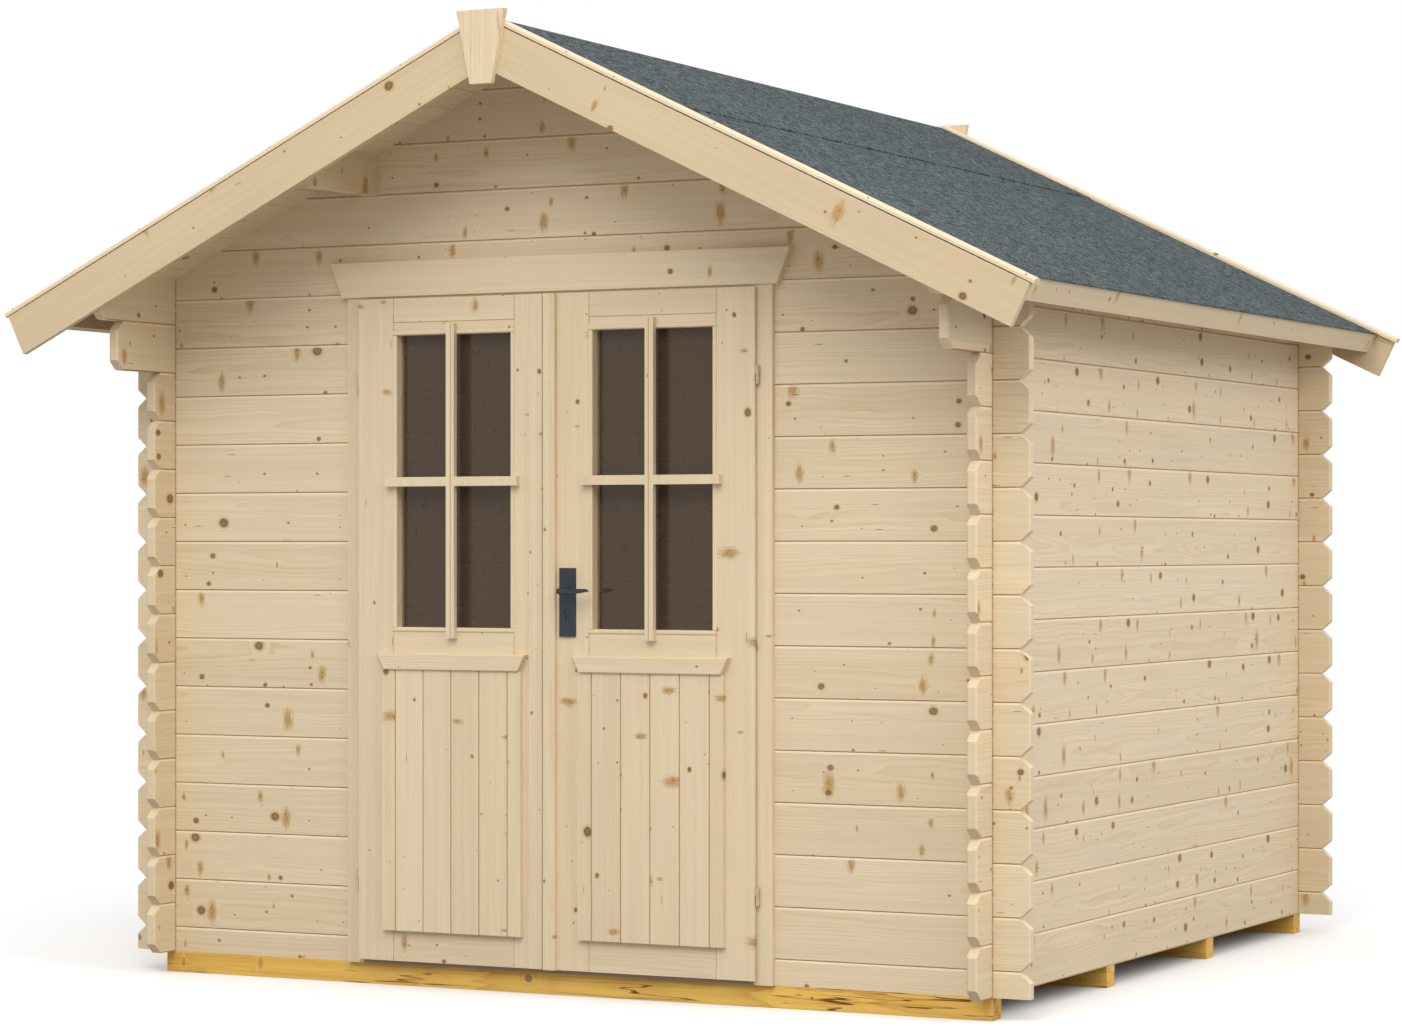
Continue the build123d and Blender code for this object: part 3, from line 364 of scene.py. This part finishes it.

    # Knots and joint lines over the grain, and on the logs a painted highlight along the upper lip under
    # each joint
    colour = tree.mix(tree.math("MULTIPLY", sound, 0.90), colour, SOUND_KNOT)
    colour = tree.mix(tree.math("MULTIPLY", speck, 0.85), colour, SPECK)
    colour = tree.mix(tree.math("MULTIPLY", halo, 0.60), colour, SOUND_KNOT)
    core = tree.mix(tree.math("MULTIPLY", tint, 0.6), KNOT_CORE, SPECK)
    colour = tree.mix(knot, colour, tree.mix(tree.math("MULTIPLY", rim, 0.75), core, KNOT_RIM))
    colour = tree.mix(tree.math("MULTIPLY", pin, 0.8), colour, SPECK)
    colour = tree.mix(pocket, colour, KNOT_RIM)
    if joint is not None:
        seam = tree.smooth(joint, 0.0022, 0.0038, 0.88, 0.0)
        colour = tree.mix(tree.math("MULTIPLY", seam, on_face), colour, JOINT)
        if split in ("courses", "half courses"):
            # Painted highlight: a light strip along the top edge of each log, just under the joint, where
            # the lip faces up to the light
            painted_lip_highlight = tree.smooth(joint, LOG_HEIGHT - 0.0075, LOG_HEIGHT - 0.0040, 0.0, 0.75)
            colour = tree.mix(tree.math("MULTIPLY", painted_lip_highlight, on_face), colour, PAINTED_LIP_HIGHLIGHT)
    if crossing is not None:
        middle, centre, half_thickness = crossing
        off = tree.math("ABSOLUTE", tree.math("SUBTRACT", along, middle))
        off = tree.math("ABSOLUTE", tree.math("SUBTRACT", off, centre))
        off = tree.math("ABSOLUTE", tree.math("SUBTRACT", off, half_thickness))
        uneven = stretched_noise(tree, (across, number, 3.0), (60.0, 1.0, 1.0), 3.0)
        darkness = tree.linear(uneven, 0.38, 0.62, 0.35, 1.0)
        seam = tree.smooth(off, 0.0014, 0.0034, darkness, 0.0)
        colour = tree.mix(seam, colour, JOINT)

    height = tree.math("MULTIPLY", fine, 0.6)
    roughness = tree.math("MULTIPLY_ADD", late, -0.10, tree.linear(fine, 0.3, 0.7, 0.58, 0.72))
    if cracks > 0.0:
        split_noise = stretched_noise(tree, place, (1.1, 30.0, 30.0), 3.0, 0.55)
        line = tree.math("ABSOLUTE", tree.math("SUBTRACT", split_noise, 0.5))
        opening = tree.noise(tree.vector(tree.math("MULTIPLY", u, 2.2), across, number), 1.0, 2.0)
        opening = tree.smooth(opening, 0.42, 0.56, 0.0, cracks)
        crack = tree.math("MULTIPLY", tree.smooth(line, 0.004, 0.012, 1.0, 0.0), opening)
        colour = tree.mix(crack, colour, (0.30 * dark[0], 0.20 * dark[1], 0.16 * dark[2]))
        height = tree.math("MULTIPLY_ADD", crack, -3.0, height)
    tree.surface(colour, roughness, height, strength=0.35, distance=0.0006, **{"Specular_IOR_Level": 0.35})
    return tree.material


def felt_material():
    """Bitumen felt strewn with blue-grey mineral granules."""
    tree = Tree("felt granules")
    place = tree.node("ShaderNodeTexCoord").outputs["Object"]
    grains = tree.node("ShaderNodeTexVoronoi", {"Vector": place, "Scale": 380.0})
    g1, g2, _ = tree.node("ShaderNodeSeparateColor", {0: grains.outputs["Color"]}).outputs
    coarse = tree.node("ShaderNodeTexVoronoi", {"Vector": place, "Scale": 120.0})
    c1, _, _ = tree.node("ShaderNodeSeparateColor", {0: coarse.outputs["Color"]}).outputs
    patches = tree.noise(place, 44.0, 4.0, 0.75)
    clouds = tree.noise(place, 2.2, 3.0)
    level = tree.linear(g1, 0.0, 1.0, 0.35, 1.55)
    level = tree.math("MULTIPLY", level, tree.linear(c1, 0.0, 1.0, 0.62, 1.38))
    level = tree.math("MULTIPLY", level, tree.linear(patches, 0.36, 0.64, 0.30, 1.75))
    level = tree.math("MULTIPLY", level, tree.linear(clouds, 0.3, 0.7, 0.92, 1.08))
    flecks = tree.smooth(g2, 0.91, 0.95)
    colour = tree.scale_colour(FELT, level)
    colour = tree.mix(tree.math("MULTIPLY", flecks, 0.6), colour, (0.30, 0.36, 0.38))
    height = tree.math("MULTIPLY_ADD", grains.outputs["Distance"], -1.0, g1)
    tree.surface(colour, tree.linear(g1, 0.0, 1.0, 0.78, 0.98), height, strength=0.55, distance=0.0012,
                 **{"Specular_IOR_Level": 0.10})
    return tree.material


def coated_metal(name, colour, roughness, metallic):
    """Metal with a fine uneven coating that is rubbed a little lighter in places."""
    tree = Tree(name)
    place = tree.node("ShaderNodeTexCoord").outputs["Object"]
    grain = tree.noise(place, 900.0, 2.0)
    wear = tree.noise(place, 60.0, 4.0, 0.65)
    rubbed = tuple(min(1.0, 1.7 * c + 0.01) for c in colour)
    tint = tree.mix(tree.smooth(wear, 0.55, 0.75, 0.0, 0.35), colour, rubbed)
    rough = tree.linear(wear, 0.3, 0.7, roughness - 0.07, roughness + 0.09)
    tree.surface(tint, rough, grain, strength=0.12, distance=0.0002, Metallic=metallic)
    return tree.material


def pane_material():
    """Brown tinted pane; a brown diffuse film over part of it hides part of the room and paints the dim room
    seen through it. Daylight passes straight into the room.
    """
    tree = Tree("window pane")
    place = tree.node("ShaderNodeTexCoord").outputs["Object"]
    haze = tree.noise(place, 14.0, 3.0)
    shader = tree.node("ShaderNodeBsdfPrincipled", {"Base Color": (0.99, 0.82, 0.58)})
    shader.inputs["Transmission Weight"].default_value = 1.0
    shader.inputs["IOR"].default_value = 1.45
    shader.inputs["Specular IOR Level"].default_value = 0.16
    tree.feed(shader.inputs["Roughness"], tree.linear(haze, 0.35, 0.75, 0.0, 0.02))
    clear = tree.node("ShaderNodeBsdfTransparent", {"Color": (0.96, 0.95, 0.93)})
    path = tree.node("ShaderNodeLightPath")
    # Painted room: a brown diffuse film mixed in at 35% stands in for the dim room seen through the pane
    painted_room_film = tree.node("ShaderNodeBsdfDiffuse", {"Color": (0.100, 0.068, 0.048)})
    pane_and_painted_room = tree.node("ShaderNodeMixShader", {0: 0.35, 1: shader.outputs[0], 2: painted_room_film.outputs[0]})
    passing = tree.math("MAXIMUM", path.outputs["Is Shadow Ray"], path.outputs["Is Diffuse Ray"])
    blend = tree.node("ShaderNodeMixShader", {0: passing, 1: pane_and_painted_room.outputs[0], 2: clear.outputs[0]})
    tree.feed(tree.output.inputs["Surface"], blend.outputs[0])
    return tree.material


def dress(names, material, bevel=0.0):
    """Give CAD nodes their material and, where wanted, softly rounded edges."""
    for name in names:
        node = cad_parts[name]
        node.data.materials.clear()
        node.data.materials.append(material)
        if bevel > 0.0:
            round_edges(node, bevel)


def round_edges(piece, width, segments=2):
    modifier = piece.modifiers.new("rounded edges", "BEVEL")
    modifier.width = width
    modifier.segments = segments
    modifier.limit_method = "ANGLE"
    modifier.angle_limit = math.radians(32)
    modifier.use_clamp_overlap = True
    modifier.harden_normals = False


def new_piece(name, mesh, material, body="root"):
    """Make an object of a finished mesh and let it ride on its body."""
    piece = bpy.data.objects.new(name, mesh)
    bpy.context.scene.collection.objects.link(piece)
    mesh.materials.append(material)
    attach(piece, body)
    return piece


def board_mesh(name, boards, bevel):
    """Mesh of bevelled boards. Each is (corner, along, across, through, number) with edge vectors."""
    shape = bmesh.new()
    grain = shape.verts.layers.float_vector.new("grain")
    number_layer = shape.verts.layers.float.new("board")
    for corner, along, across, through, number in boards:
        made = bmesh.ops.create_cube(shape, size=1.0)["verts"]
        length, width, depth = along.length, across.length, through.length
        for vert in made:
            share = vert.co + Vector((0.5, 0.5, 0.5))
            vert.co = Vector((share.x * length, share.y * width, share.z * depth))
        edges = list({edge for vert in made for edge in vert.link_edges})
        result = bmesh.ops.bevel(shape, geom=edges, offset=bevel, segments=2, profile=0.7, affect="EDGES")
        verts = set(result["verts"])
        for face in result["faces"]:
            verts.update(face.verts)
        for vert in {v for joined in verts for edge in joined.link_edges for v in edge.verts}:
            local = vert.co.copy()
            vert[grain] = (local.x, local.y - width / 2, local.z - depth / 2)
            vert[number_layer] = number
            vert.co = (corner + along.normalized() * local.x + across.normalized() * local.y
                       + through.normalized() * local.z)
    bmesh.ops.recalc_face_normals(shape, faces=shape.faces)
    mesh = bpy.data.meshes.new(name)
    shape.to_mesh(mesh)
    shape.free()
    return mesh


def dress_wood(names, axis, split=None, seed=0.0, bevel=EDGE_ROUNDING, **looks):
    """Dress nodes in one wood whose growth rings are counted from the first node's outer face."""
    low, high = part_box(names[0])
    if axis == "Y":
        face = max(abs(low.x), abs(high.x))
    else:
        face = abs(low.y + high.y) / 2
    dress(names, wood("wood " + names[0], axis, split, face, seed, **looks), bevel)


# Materials of the carried-over nodes
wall_inner_x, wall_outer_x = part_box("right_wall")[0].x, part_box("right_wall")[1].x
half_log = (wall_outer_x - wall_inner_x) / 2
across_x = (0.0, wall_outer_x - half_log, half_log)
front_y, rear_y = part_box("front_wall_left")[0].y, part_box("rear_wall")[1].y
across_y = ((front_y + rear_y) / 2, (rear_y - front_y) / 2 - half_log, half_log)
dress_wood(["front_wall_left"], "X", "half courses", 3.0, crossing=across_x)
dress_wood(["front_wall_right"], "X", "half courses", 43.0, crossing=across_x)
dress_wood(["front_gable"], "X", "half courses", 83.0, crossing=across_x)
dress_wood(["rear_wall"], "X", "half courses", 123.0, crossing=across_x)
dress_wood(["left_wall"], "Y", "courses", 163.0, crossing=across_y)
# The right wall's paler, cooler spruce paints the cooler light falling on that side
dress_wood(["right_wall"], "Y", "courses", 211.0, light=SPRUCE_PALE, crossing=across_y)
dress_wood(["foundation_beams"], "X", "beams", 5.0, 0.0025, light=GOLDEN, dark=GOLDEN_DARK, knots=0.25,
           cracks=1.0)
dress_wood(["purlins"], "Y", None, 9.0, 0.002)
# The bargeboards take a darker spruce as painted shade
dress_wood(["front_bargeboards"], "slope", None, 22.0, light=SPRUCE_PAINTED_SHADE, knots=0.45, contrast=1.6)
dress_wood(["rear_bargeboards"], "slope", None, 25.0, light=SPRUCE_PAINTED_SHADE, knots=0.45, contrast=1.6)
dress_wood(["front_battens"], "slope", None, 29.0, 0.001, light=SPRUCE_PALE, knots=0.2)
dress_wood(["rear_battens"], "slope", None, 33.0, 0.001, light=SPRUCE_PALE, knots=0.2)
dress_wood(["front_ridge_board"], "Z", None, 38.0, knots=0.05, cracks=0.5)
dress_wood(["rear_ridge_board"], "Z", None, 39.0, knots=0.3)
# The eaves boards take a darker spruce as painted shade under the overhang
dress_wood(["eaves_boards"], "Y", None, 51.0, light=SPRUCE_PAINTED_SHADE, knots=0.5)
dress_wood(["door_jambs", "door_casings", "inner_casings"], "Z", None, 61.0, knots=0.4)
dress_wood(["door_head", "head_board"], "X", None, 72.0, knots=0.7)
# The threshold is dark brown wood, dark enough to paint the shadow gap under the door leaves
dress_wood(["door_threshold"], "X", None, 75.0, light=DARK_WOOD_AND_SHADE, dark=DARKER_WOOD_AND_SHADE, knots=0.0)
panel_start = LEAF_CENTRE - PANEL_JOINTS_BACK * PANEL_BOARD
for number, leaf in enumerate(("left_leaf", "right_leaf")):
    shift = LEAF_SEED_STEP * number
    dress_wood([leaf + "_stiles"], "Z", ("|x|", -0.2, 0.5), 81.0 + shift, 0.0012, knots=0.7)
    rail_low, rail_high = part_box(leaf + "_rails")
    rail_ends = ((rail_low.x + rail_high.x) / 2, (rail_high.x - rail_low.x) / 2, 0.0)
    dress_wood([leaf + "_rails"], "X", ("z", 0.0, 0.6), 91.0 + shift, 0.0012, knots=0.6, crossing=rail_ends)
    dress_wood([leaf + "_panel"], "Z", ("|x|", panel_start, PANEL_BOARD), 101.0 + shift, 0.0012, knots=0.8)
    dress_wood([leaf + "_sill"], "X", None, 107.0 + shift, 0.001, knots=0.4)
    dress_wood([leaf + "_beads", leaf + "_bars"], "Z", ("|x|", -0.2, 0.5), 111.0 + shift, 0.0012, knots=0.15)
    dress([leaf + "_glass"], pane_material())
dress_wood(["meeting_strip"], "Z", None, 131.0, 0.001, knots=0.5)
hinge_metal = coated_metal("yellow zinc", (0.53, 0.42, 0.27), 0.60, 0.15)
anthracite = coated_metal("anthracite", (0.027, 0.034, 0.043), 0.45, 0.35)
dress(["hinge_pins", "left_leaf_hinges", "right_leaf_hinges"], hinge_metal)
dress(["handle_plates", "door_handle"], anthracite, 0.0006)
felt = felt_material()
dress(["felt_left", "felt_right"], felt)


def roof_planks(side):
    """Tongued roof boards of one slope, side by side from the eaves to the ridge."""
    name = "left" if side < 0 else "right"
    low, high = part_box("roof_boards_" + name)
    down = Vector((side * math.cos(ROOF_PITCH), 0, -math.sin(ROOF_PITCH)))
    out = Vector((side * math.sin(ROOF_PITCH), 0, math.cos(ROOF_PITCH)))
    top_ridge = Vector((0, 0, high.z))
    outer_x = high.x if side > 0 else -low.x
    length = outer_x / math.cos(ROOF_PITCH)
    count = round(length / ROOF_PLANK)
    pitch = length / count
    inset = ROOF_PLANK_THICKNESS * math.tan(ROOF_PITCH)
    boards = []
    for k in range(count):
        start = k * pitch + (inset if k == 0 else 0.0)
        end = (k + 1) * pitch - PLANK_GAP
        corner = top_ridge + down * start - out * ROOF_PLANK_THICKNESS
        corner.y = low.y
        boards.append((corner, Vector((0, high.y - low.y, 0)), down * (end - start),
                       out * ROOF_PLANK_THICKNESS, k + (LEFT_ROOF_BOARDS if side < 0 else 0)))
    return board_mesh("roof_planks_" + name, boards, PLANK_BEVEL)


def floor_planks():
    """Floor boards laid across the beams, from the front wall to the rear wall."""
    low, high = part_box("floor_boards")
    width = high.x - low.x
    count = round(width / FLOOR_PLANK)
    pitch = width / count
    boards = []
    for k in range(count):
        corner = Vector((low.x + k * pitch, low.y, low.z))
        boards.append((corner, Vector((0, high.y - low.y, 0)), Vector((pitch - PLANK_GAP, 0, 0)),
                       Vector((0, 0, high.z - low.z)), FLOOR_BOARDS + k))
    return board_mesh("floor_planks", boards, PLANK_BEVEL)


plank_wood = wood("planks", "planks", knots=0.8)
for side, name in ((-1, "left"), (1, "right")):
    planks = new_piece("roof_planks_" + name, roof_planks(side), plank_wood)
    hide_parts("roof_boards_" + name)
planks = new_piece("floor_planks", floor_planks(), plank_wood)
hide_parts("floor_boards")


def leaf_cover_strip():
    """Flat strip along the left leaf's meeting edge, as the photograph shows it."""
    low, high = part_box("left_leaf_stiles")
    corner = Vector((high.x - COVER_STRIP_WIDTH, low.y, low.z))
    strip = (corner, Vector((0, 0, high.z - low.z)), Vector((COVER_STRIP_WIDTH, 0, 0)),
             Vector((0, -COVER_STRIP_THICKNESS, 0)), COVER_STRIP_BOARD)
    return board_mesh("left_leaf_cover_strip", [strip], COVER_STRIP_BEVEL)


new_piece("left_leaf_cover_strip", leaf_cover_strip(), plank_wood, "left_leaf")


def ridge_sheet():
    """Top sheet of felt, bent over the ridge and lapped over the lower sheet of each slope."""
    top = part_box("felt_right")[1].z + FELT_SHEET_GAP
    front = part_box("front_battens")[1].y + FELT_SHEET_GAP
    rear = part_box("rear_battens")[0].y - FELT_SHEET_GAP
    down = Vector((math.cos(ROOF_PITCH), 0, -math.sin(ROOF_PITCH))) * FELT_LAP_REACH
    rise = FELT_LAP_THICKNESS / math.cos(ROOF_PITCH)
    outline = [(-down.x, top + down.z), (0, top), (down.x, top + down.z),
               (down.x, top + down.z + rise), (0, top + rise), (-down.x, top + down.z + rise)]
    shape = bmesh.new()
    ends = [[shape.verts.new((x, y, z)) for x, z in outline] for y in (front, rear)]
    count = len(outline)
    for k in range(count):
        after = (k + 1) % count
        shape.faces.new((ends[0][k], ends[0][after], ends[1][after], ends[1][k]))
    for ring in ends:
        shape.faces.new((ring[0], ring[1], ring[4], ring[5]))
        shape.faces.new((ring[1], ring[2], ring[3], ring[4]))
    bmesh.ops.recalc_face_normals(shape, faces=shape.faces)
    mesh = bpy.data.meshes.new("felt_ridge_sheet")
    shape.to_mesh(mesh)
    shape.free()
    return mesh


def nail_heads(places):
    """Low domed nail heads. Each place is (point on the surface, outward direction)."""
    shape = bmesh.new()
    for point, out in places:
        turn = Vector((0, 0, 1)).rotation_difference(out).to_matrix().to_4x4()
        turn.translation = point
        made = bmesh.ops.create_cone(shape, cap_ends=True, segments=NAIL_SIDES, radius1=NAIL_RADIUS,
                                     radius2=NAIL_RADIUS * NAIL_TAPER, depth=NAIL_HEIGHT * 2)
        bmesh.ops.transform(shape, matrix=turn, verts=made["verts"])
    mesh = bpy.data.meshes.new("batten_nails")
    shape.to_mesh(mesh)
    shape.free()
    return mesh


def batten_nail_places():
    """Nails along the rounded outer edges of the four cover battens."""
    places = []
    for name, facing in (("front_battens", -1), ("rear_battens", 1)):
        low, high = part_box(name)
        ridge_z = high.z
        edge_y = low.y if facing < 0 else high.y
        length = high.x / math.cos(ROOF_PITCH)
        step = (length - RIDGE_TO_FIRST_NAIL) / (NAILS_A_SLOPE - 1)
        for side in (-1, 1):
            down = Vector((side * math.cos(ROOF_PITCH), 0, -math.sin(ROOF_PITCH)))
            out = Vector((side * math.sin(ROOF_PITCH), 0, math.cos(ROOF_PITCH)))
            for k in range(NAILS_A_SLOPE):
                stray = random.uniform(-NAIL_STRAY, NAIL_STRAY)
                along = length - NAIL_INSET - k * step + stray
                along = min(along, length - NAIL_INSET)
                centre = Vector((0, edge_y - facing * BATTEN_ROUNDING, ridge_z)) + down * along
                centre -= out * BATTEN_ROUNDING
                direction = (out + Vector((0, facing, 0))).normalized()
                places.append((centre + direction * BATTEN_ROUNDING, direction))
    return places


new_piece("felt_ridge_sheet", ridge_sheet(), felt)
nail_metal = coated_metal("nail zinc", (0.30, 0.27, 0.23), 0.5, 0.6)
new_piece("batten_nails", nail_heads(batten_nail_places()), nail_metal)

# Camera, worked out from the photograph
IMAGE_WIDTH = 1402
IMAGE_HEIGHT = 1026
SENSOR_WIDTH = 36.0
CAMERA_PLACE = (4.9239, -10.0471, 1.1962)
CAMERA_TURN = math.radians(27.045)
FOCAL_PIXELS = 3824.7
PICTURE_CENTRE = (680.7, 545.32)
camera = bpy.data.objects.new("camera", bpy.data.cameras.new("camera"))
bpy.context.scene.collection.objects.link(camera)
camera.location = CAMERA_PLACE
camera.rotation_euler = (math.radians(90), 0, CAMERA_TURN)
camera.data.sensor_fit = "HORIZONTAL"
camera.data.sensor_width = SENSOR_WIDTH
camera.data.lens = FOCAL_PIXELS / IMAGE_WIDTH * SENSOR_WIDTH
camera.data.shift_x = (IMAGE_WIDTH / 2 - PICTURE_CENTRE[0]) / IMAGE_WIDTH
camera.data.shift_y = (PICTURE_CENTRE[1] - IMAGE_HEIGHT / 2) / IMAGE_WIDTH
camera.data.clip_end = 200.0
camera.data.dof.use_dof = False
bpy.context.scene.camera = camera


def floor_material():
    """Pale floor that keeps the shadow near the house and turns white further out."""
    tree = Tree("pale floor")
    place = tree.node("ShaderNodeTexCoord").outputs["Object"]
    x, y, _ = tree.node("ShaderNodeSeparateXYZ", {0: place}).outputs
    path = tree.node("ShaderNodeLightPath")
    dimming = tree.math("MULTIPLY", path.outputs["Is Diffuse Ray"], FLOOR_DIMMING)
    tone = tree.math("SUBTRACT", FLOOR_TONE, dimming)
    plain = tree.node("ShaderNodeBsdfDiffuse", {"Color": tree.vector(tone, tone, tone)})
    white = tree.node("ShaderNodeEmission", {"Color": (1.0, 1.0, 1.0), "Strength": 1.0})
    seen = tree.math("MAXIMUM", path.outputs["Is Camera Ray"], path.outputs["Is Glossy Ray"])
    seen = tree.math("MAXIMUM", seen, path.outputs["Is Transmission Ray"])
    outer = tree.smooth(tree.length(x, y), SHADOW_FLOOR_REACH, WHITE_FLOOR_REACH)
    share = tree.math("MULTIPLY", outer, seen)
    blend = tree.node("ShaderNodeMixShader", {0: share, 1: plain.outputs[0], 2: white.outputs[0]})
    tree.feed(tree.output.inputs["Surface"], blend.outputs[0])
    return tree.material


def lay_floor():
    mesh = bpy.data.meshes.new("studio_floor")
    shape = bmesh.new()
    bmesh.ops.create_circle(shape, cap_ends=True, segments=96, radius=FLOOR_RADIUS)
    shape.to_mesh(mesh)
    shape.free()
    floor = bpy.data.objects.new("studio_floor", mesh)
    bpy.context.scene.collection.objects.link(floor)
    floor.location.z = cad_low.z - FLOOR_DROP
    mesh.materials.append(floor_material())


def light_world(low, high):
    """White surroundings to look at, and a sky that lights more from above than from the side."""
    world = bpy.data.worlds.new("studio")
    bpy.context.scene.world = world
    world.use_nodes = True
    nodes, links = world.node_tree.nodes, world.node_tree.links
    nodes.clear()
    output = nodes.new("ShaderNodeOutputWorld")
    seen = nodes.new("ShaderNodeBackground")
    lit = nodes.new("ShaderNodeBackground")
    for background in (seen, lit):
        background.inputs["Color"].default_value = (1, 1, 1, 1)
    seen.inputs["Strength"].default_value = 1.0
    direction = nodes.new("ShaderNodeTexCoord")
    parts = nodes.new("ShaderNodeSeparateXYZ")
    links.new(direction.outputs["Generated"], parts.inputs[0])
    rise = nodes.new("ShaderNodeMapRange")
    rise.inputs["To Min"].default_value = low
    rise.inputs["To Max"].default_value = high
    links.new(parts.outputs["Z"], rise.inputs["Value"])
    links.new(rise.outputs[0], lit.inputs["Strength"])
    path = nodes.new("ShaderNodeLightPath")
    first = nodes.new("ShaderNodeMath")
    second = nodes.new("ShaderNodeMath")
    for step in (first, second):
        step.operation = "MAXIMUM"
    blend = nodes.new("ShaderNodeMixShader")
    links.new(path.outputs["Is Camera Ray"], first.inputs[0])
    links.new(path.outputs["Is Glossy Ray"], first.inputs[1])
    links.new(first.outputs[0], second.inputs[0])
    links.new(path.outputs["Is Transmission Ray"], second.inputs[1])
    links.new(second.outputs[0], blend.inputs[0])
    links.new(lit.outputs[0], blend.inputs[1])
    links.new(seen.outputs[0], blend.inputs[2])
    links.new(blend.outputs[0], output.inputs[0])


def soft_light(name, place, size, power):
    lamp = bpy.data.lights.new(name, "AREA")
    lamp.shape = "DISK"
    lamp.size = size
    lamp.energy = power
    holder = bpy.data.objects.new(name, lamp)
    bpy.context.scene.collection.objects.link(holder)
    holder.location = place
    direction = Vector(LAMP_TARGET) - Vector(place)
    holder.rotation_euler = direction.to_track_quat("-Z", "Y").to_euler()


lay_floor()
light_world(SKY_EDGE, SKY_TOP)
soft_light("front key", *FRONT_KEY)
soft_light("side key", *SIDE_KEY)

bpy.context.scene.view_settings.view_transform = "Standard"
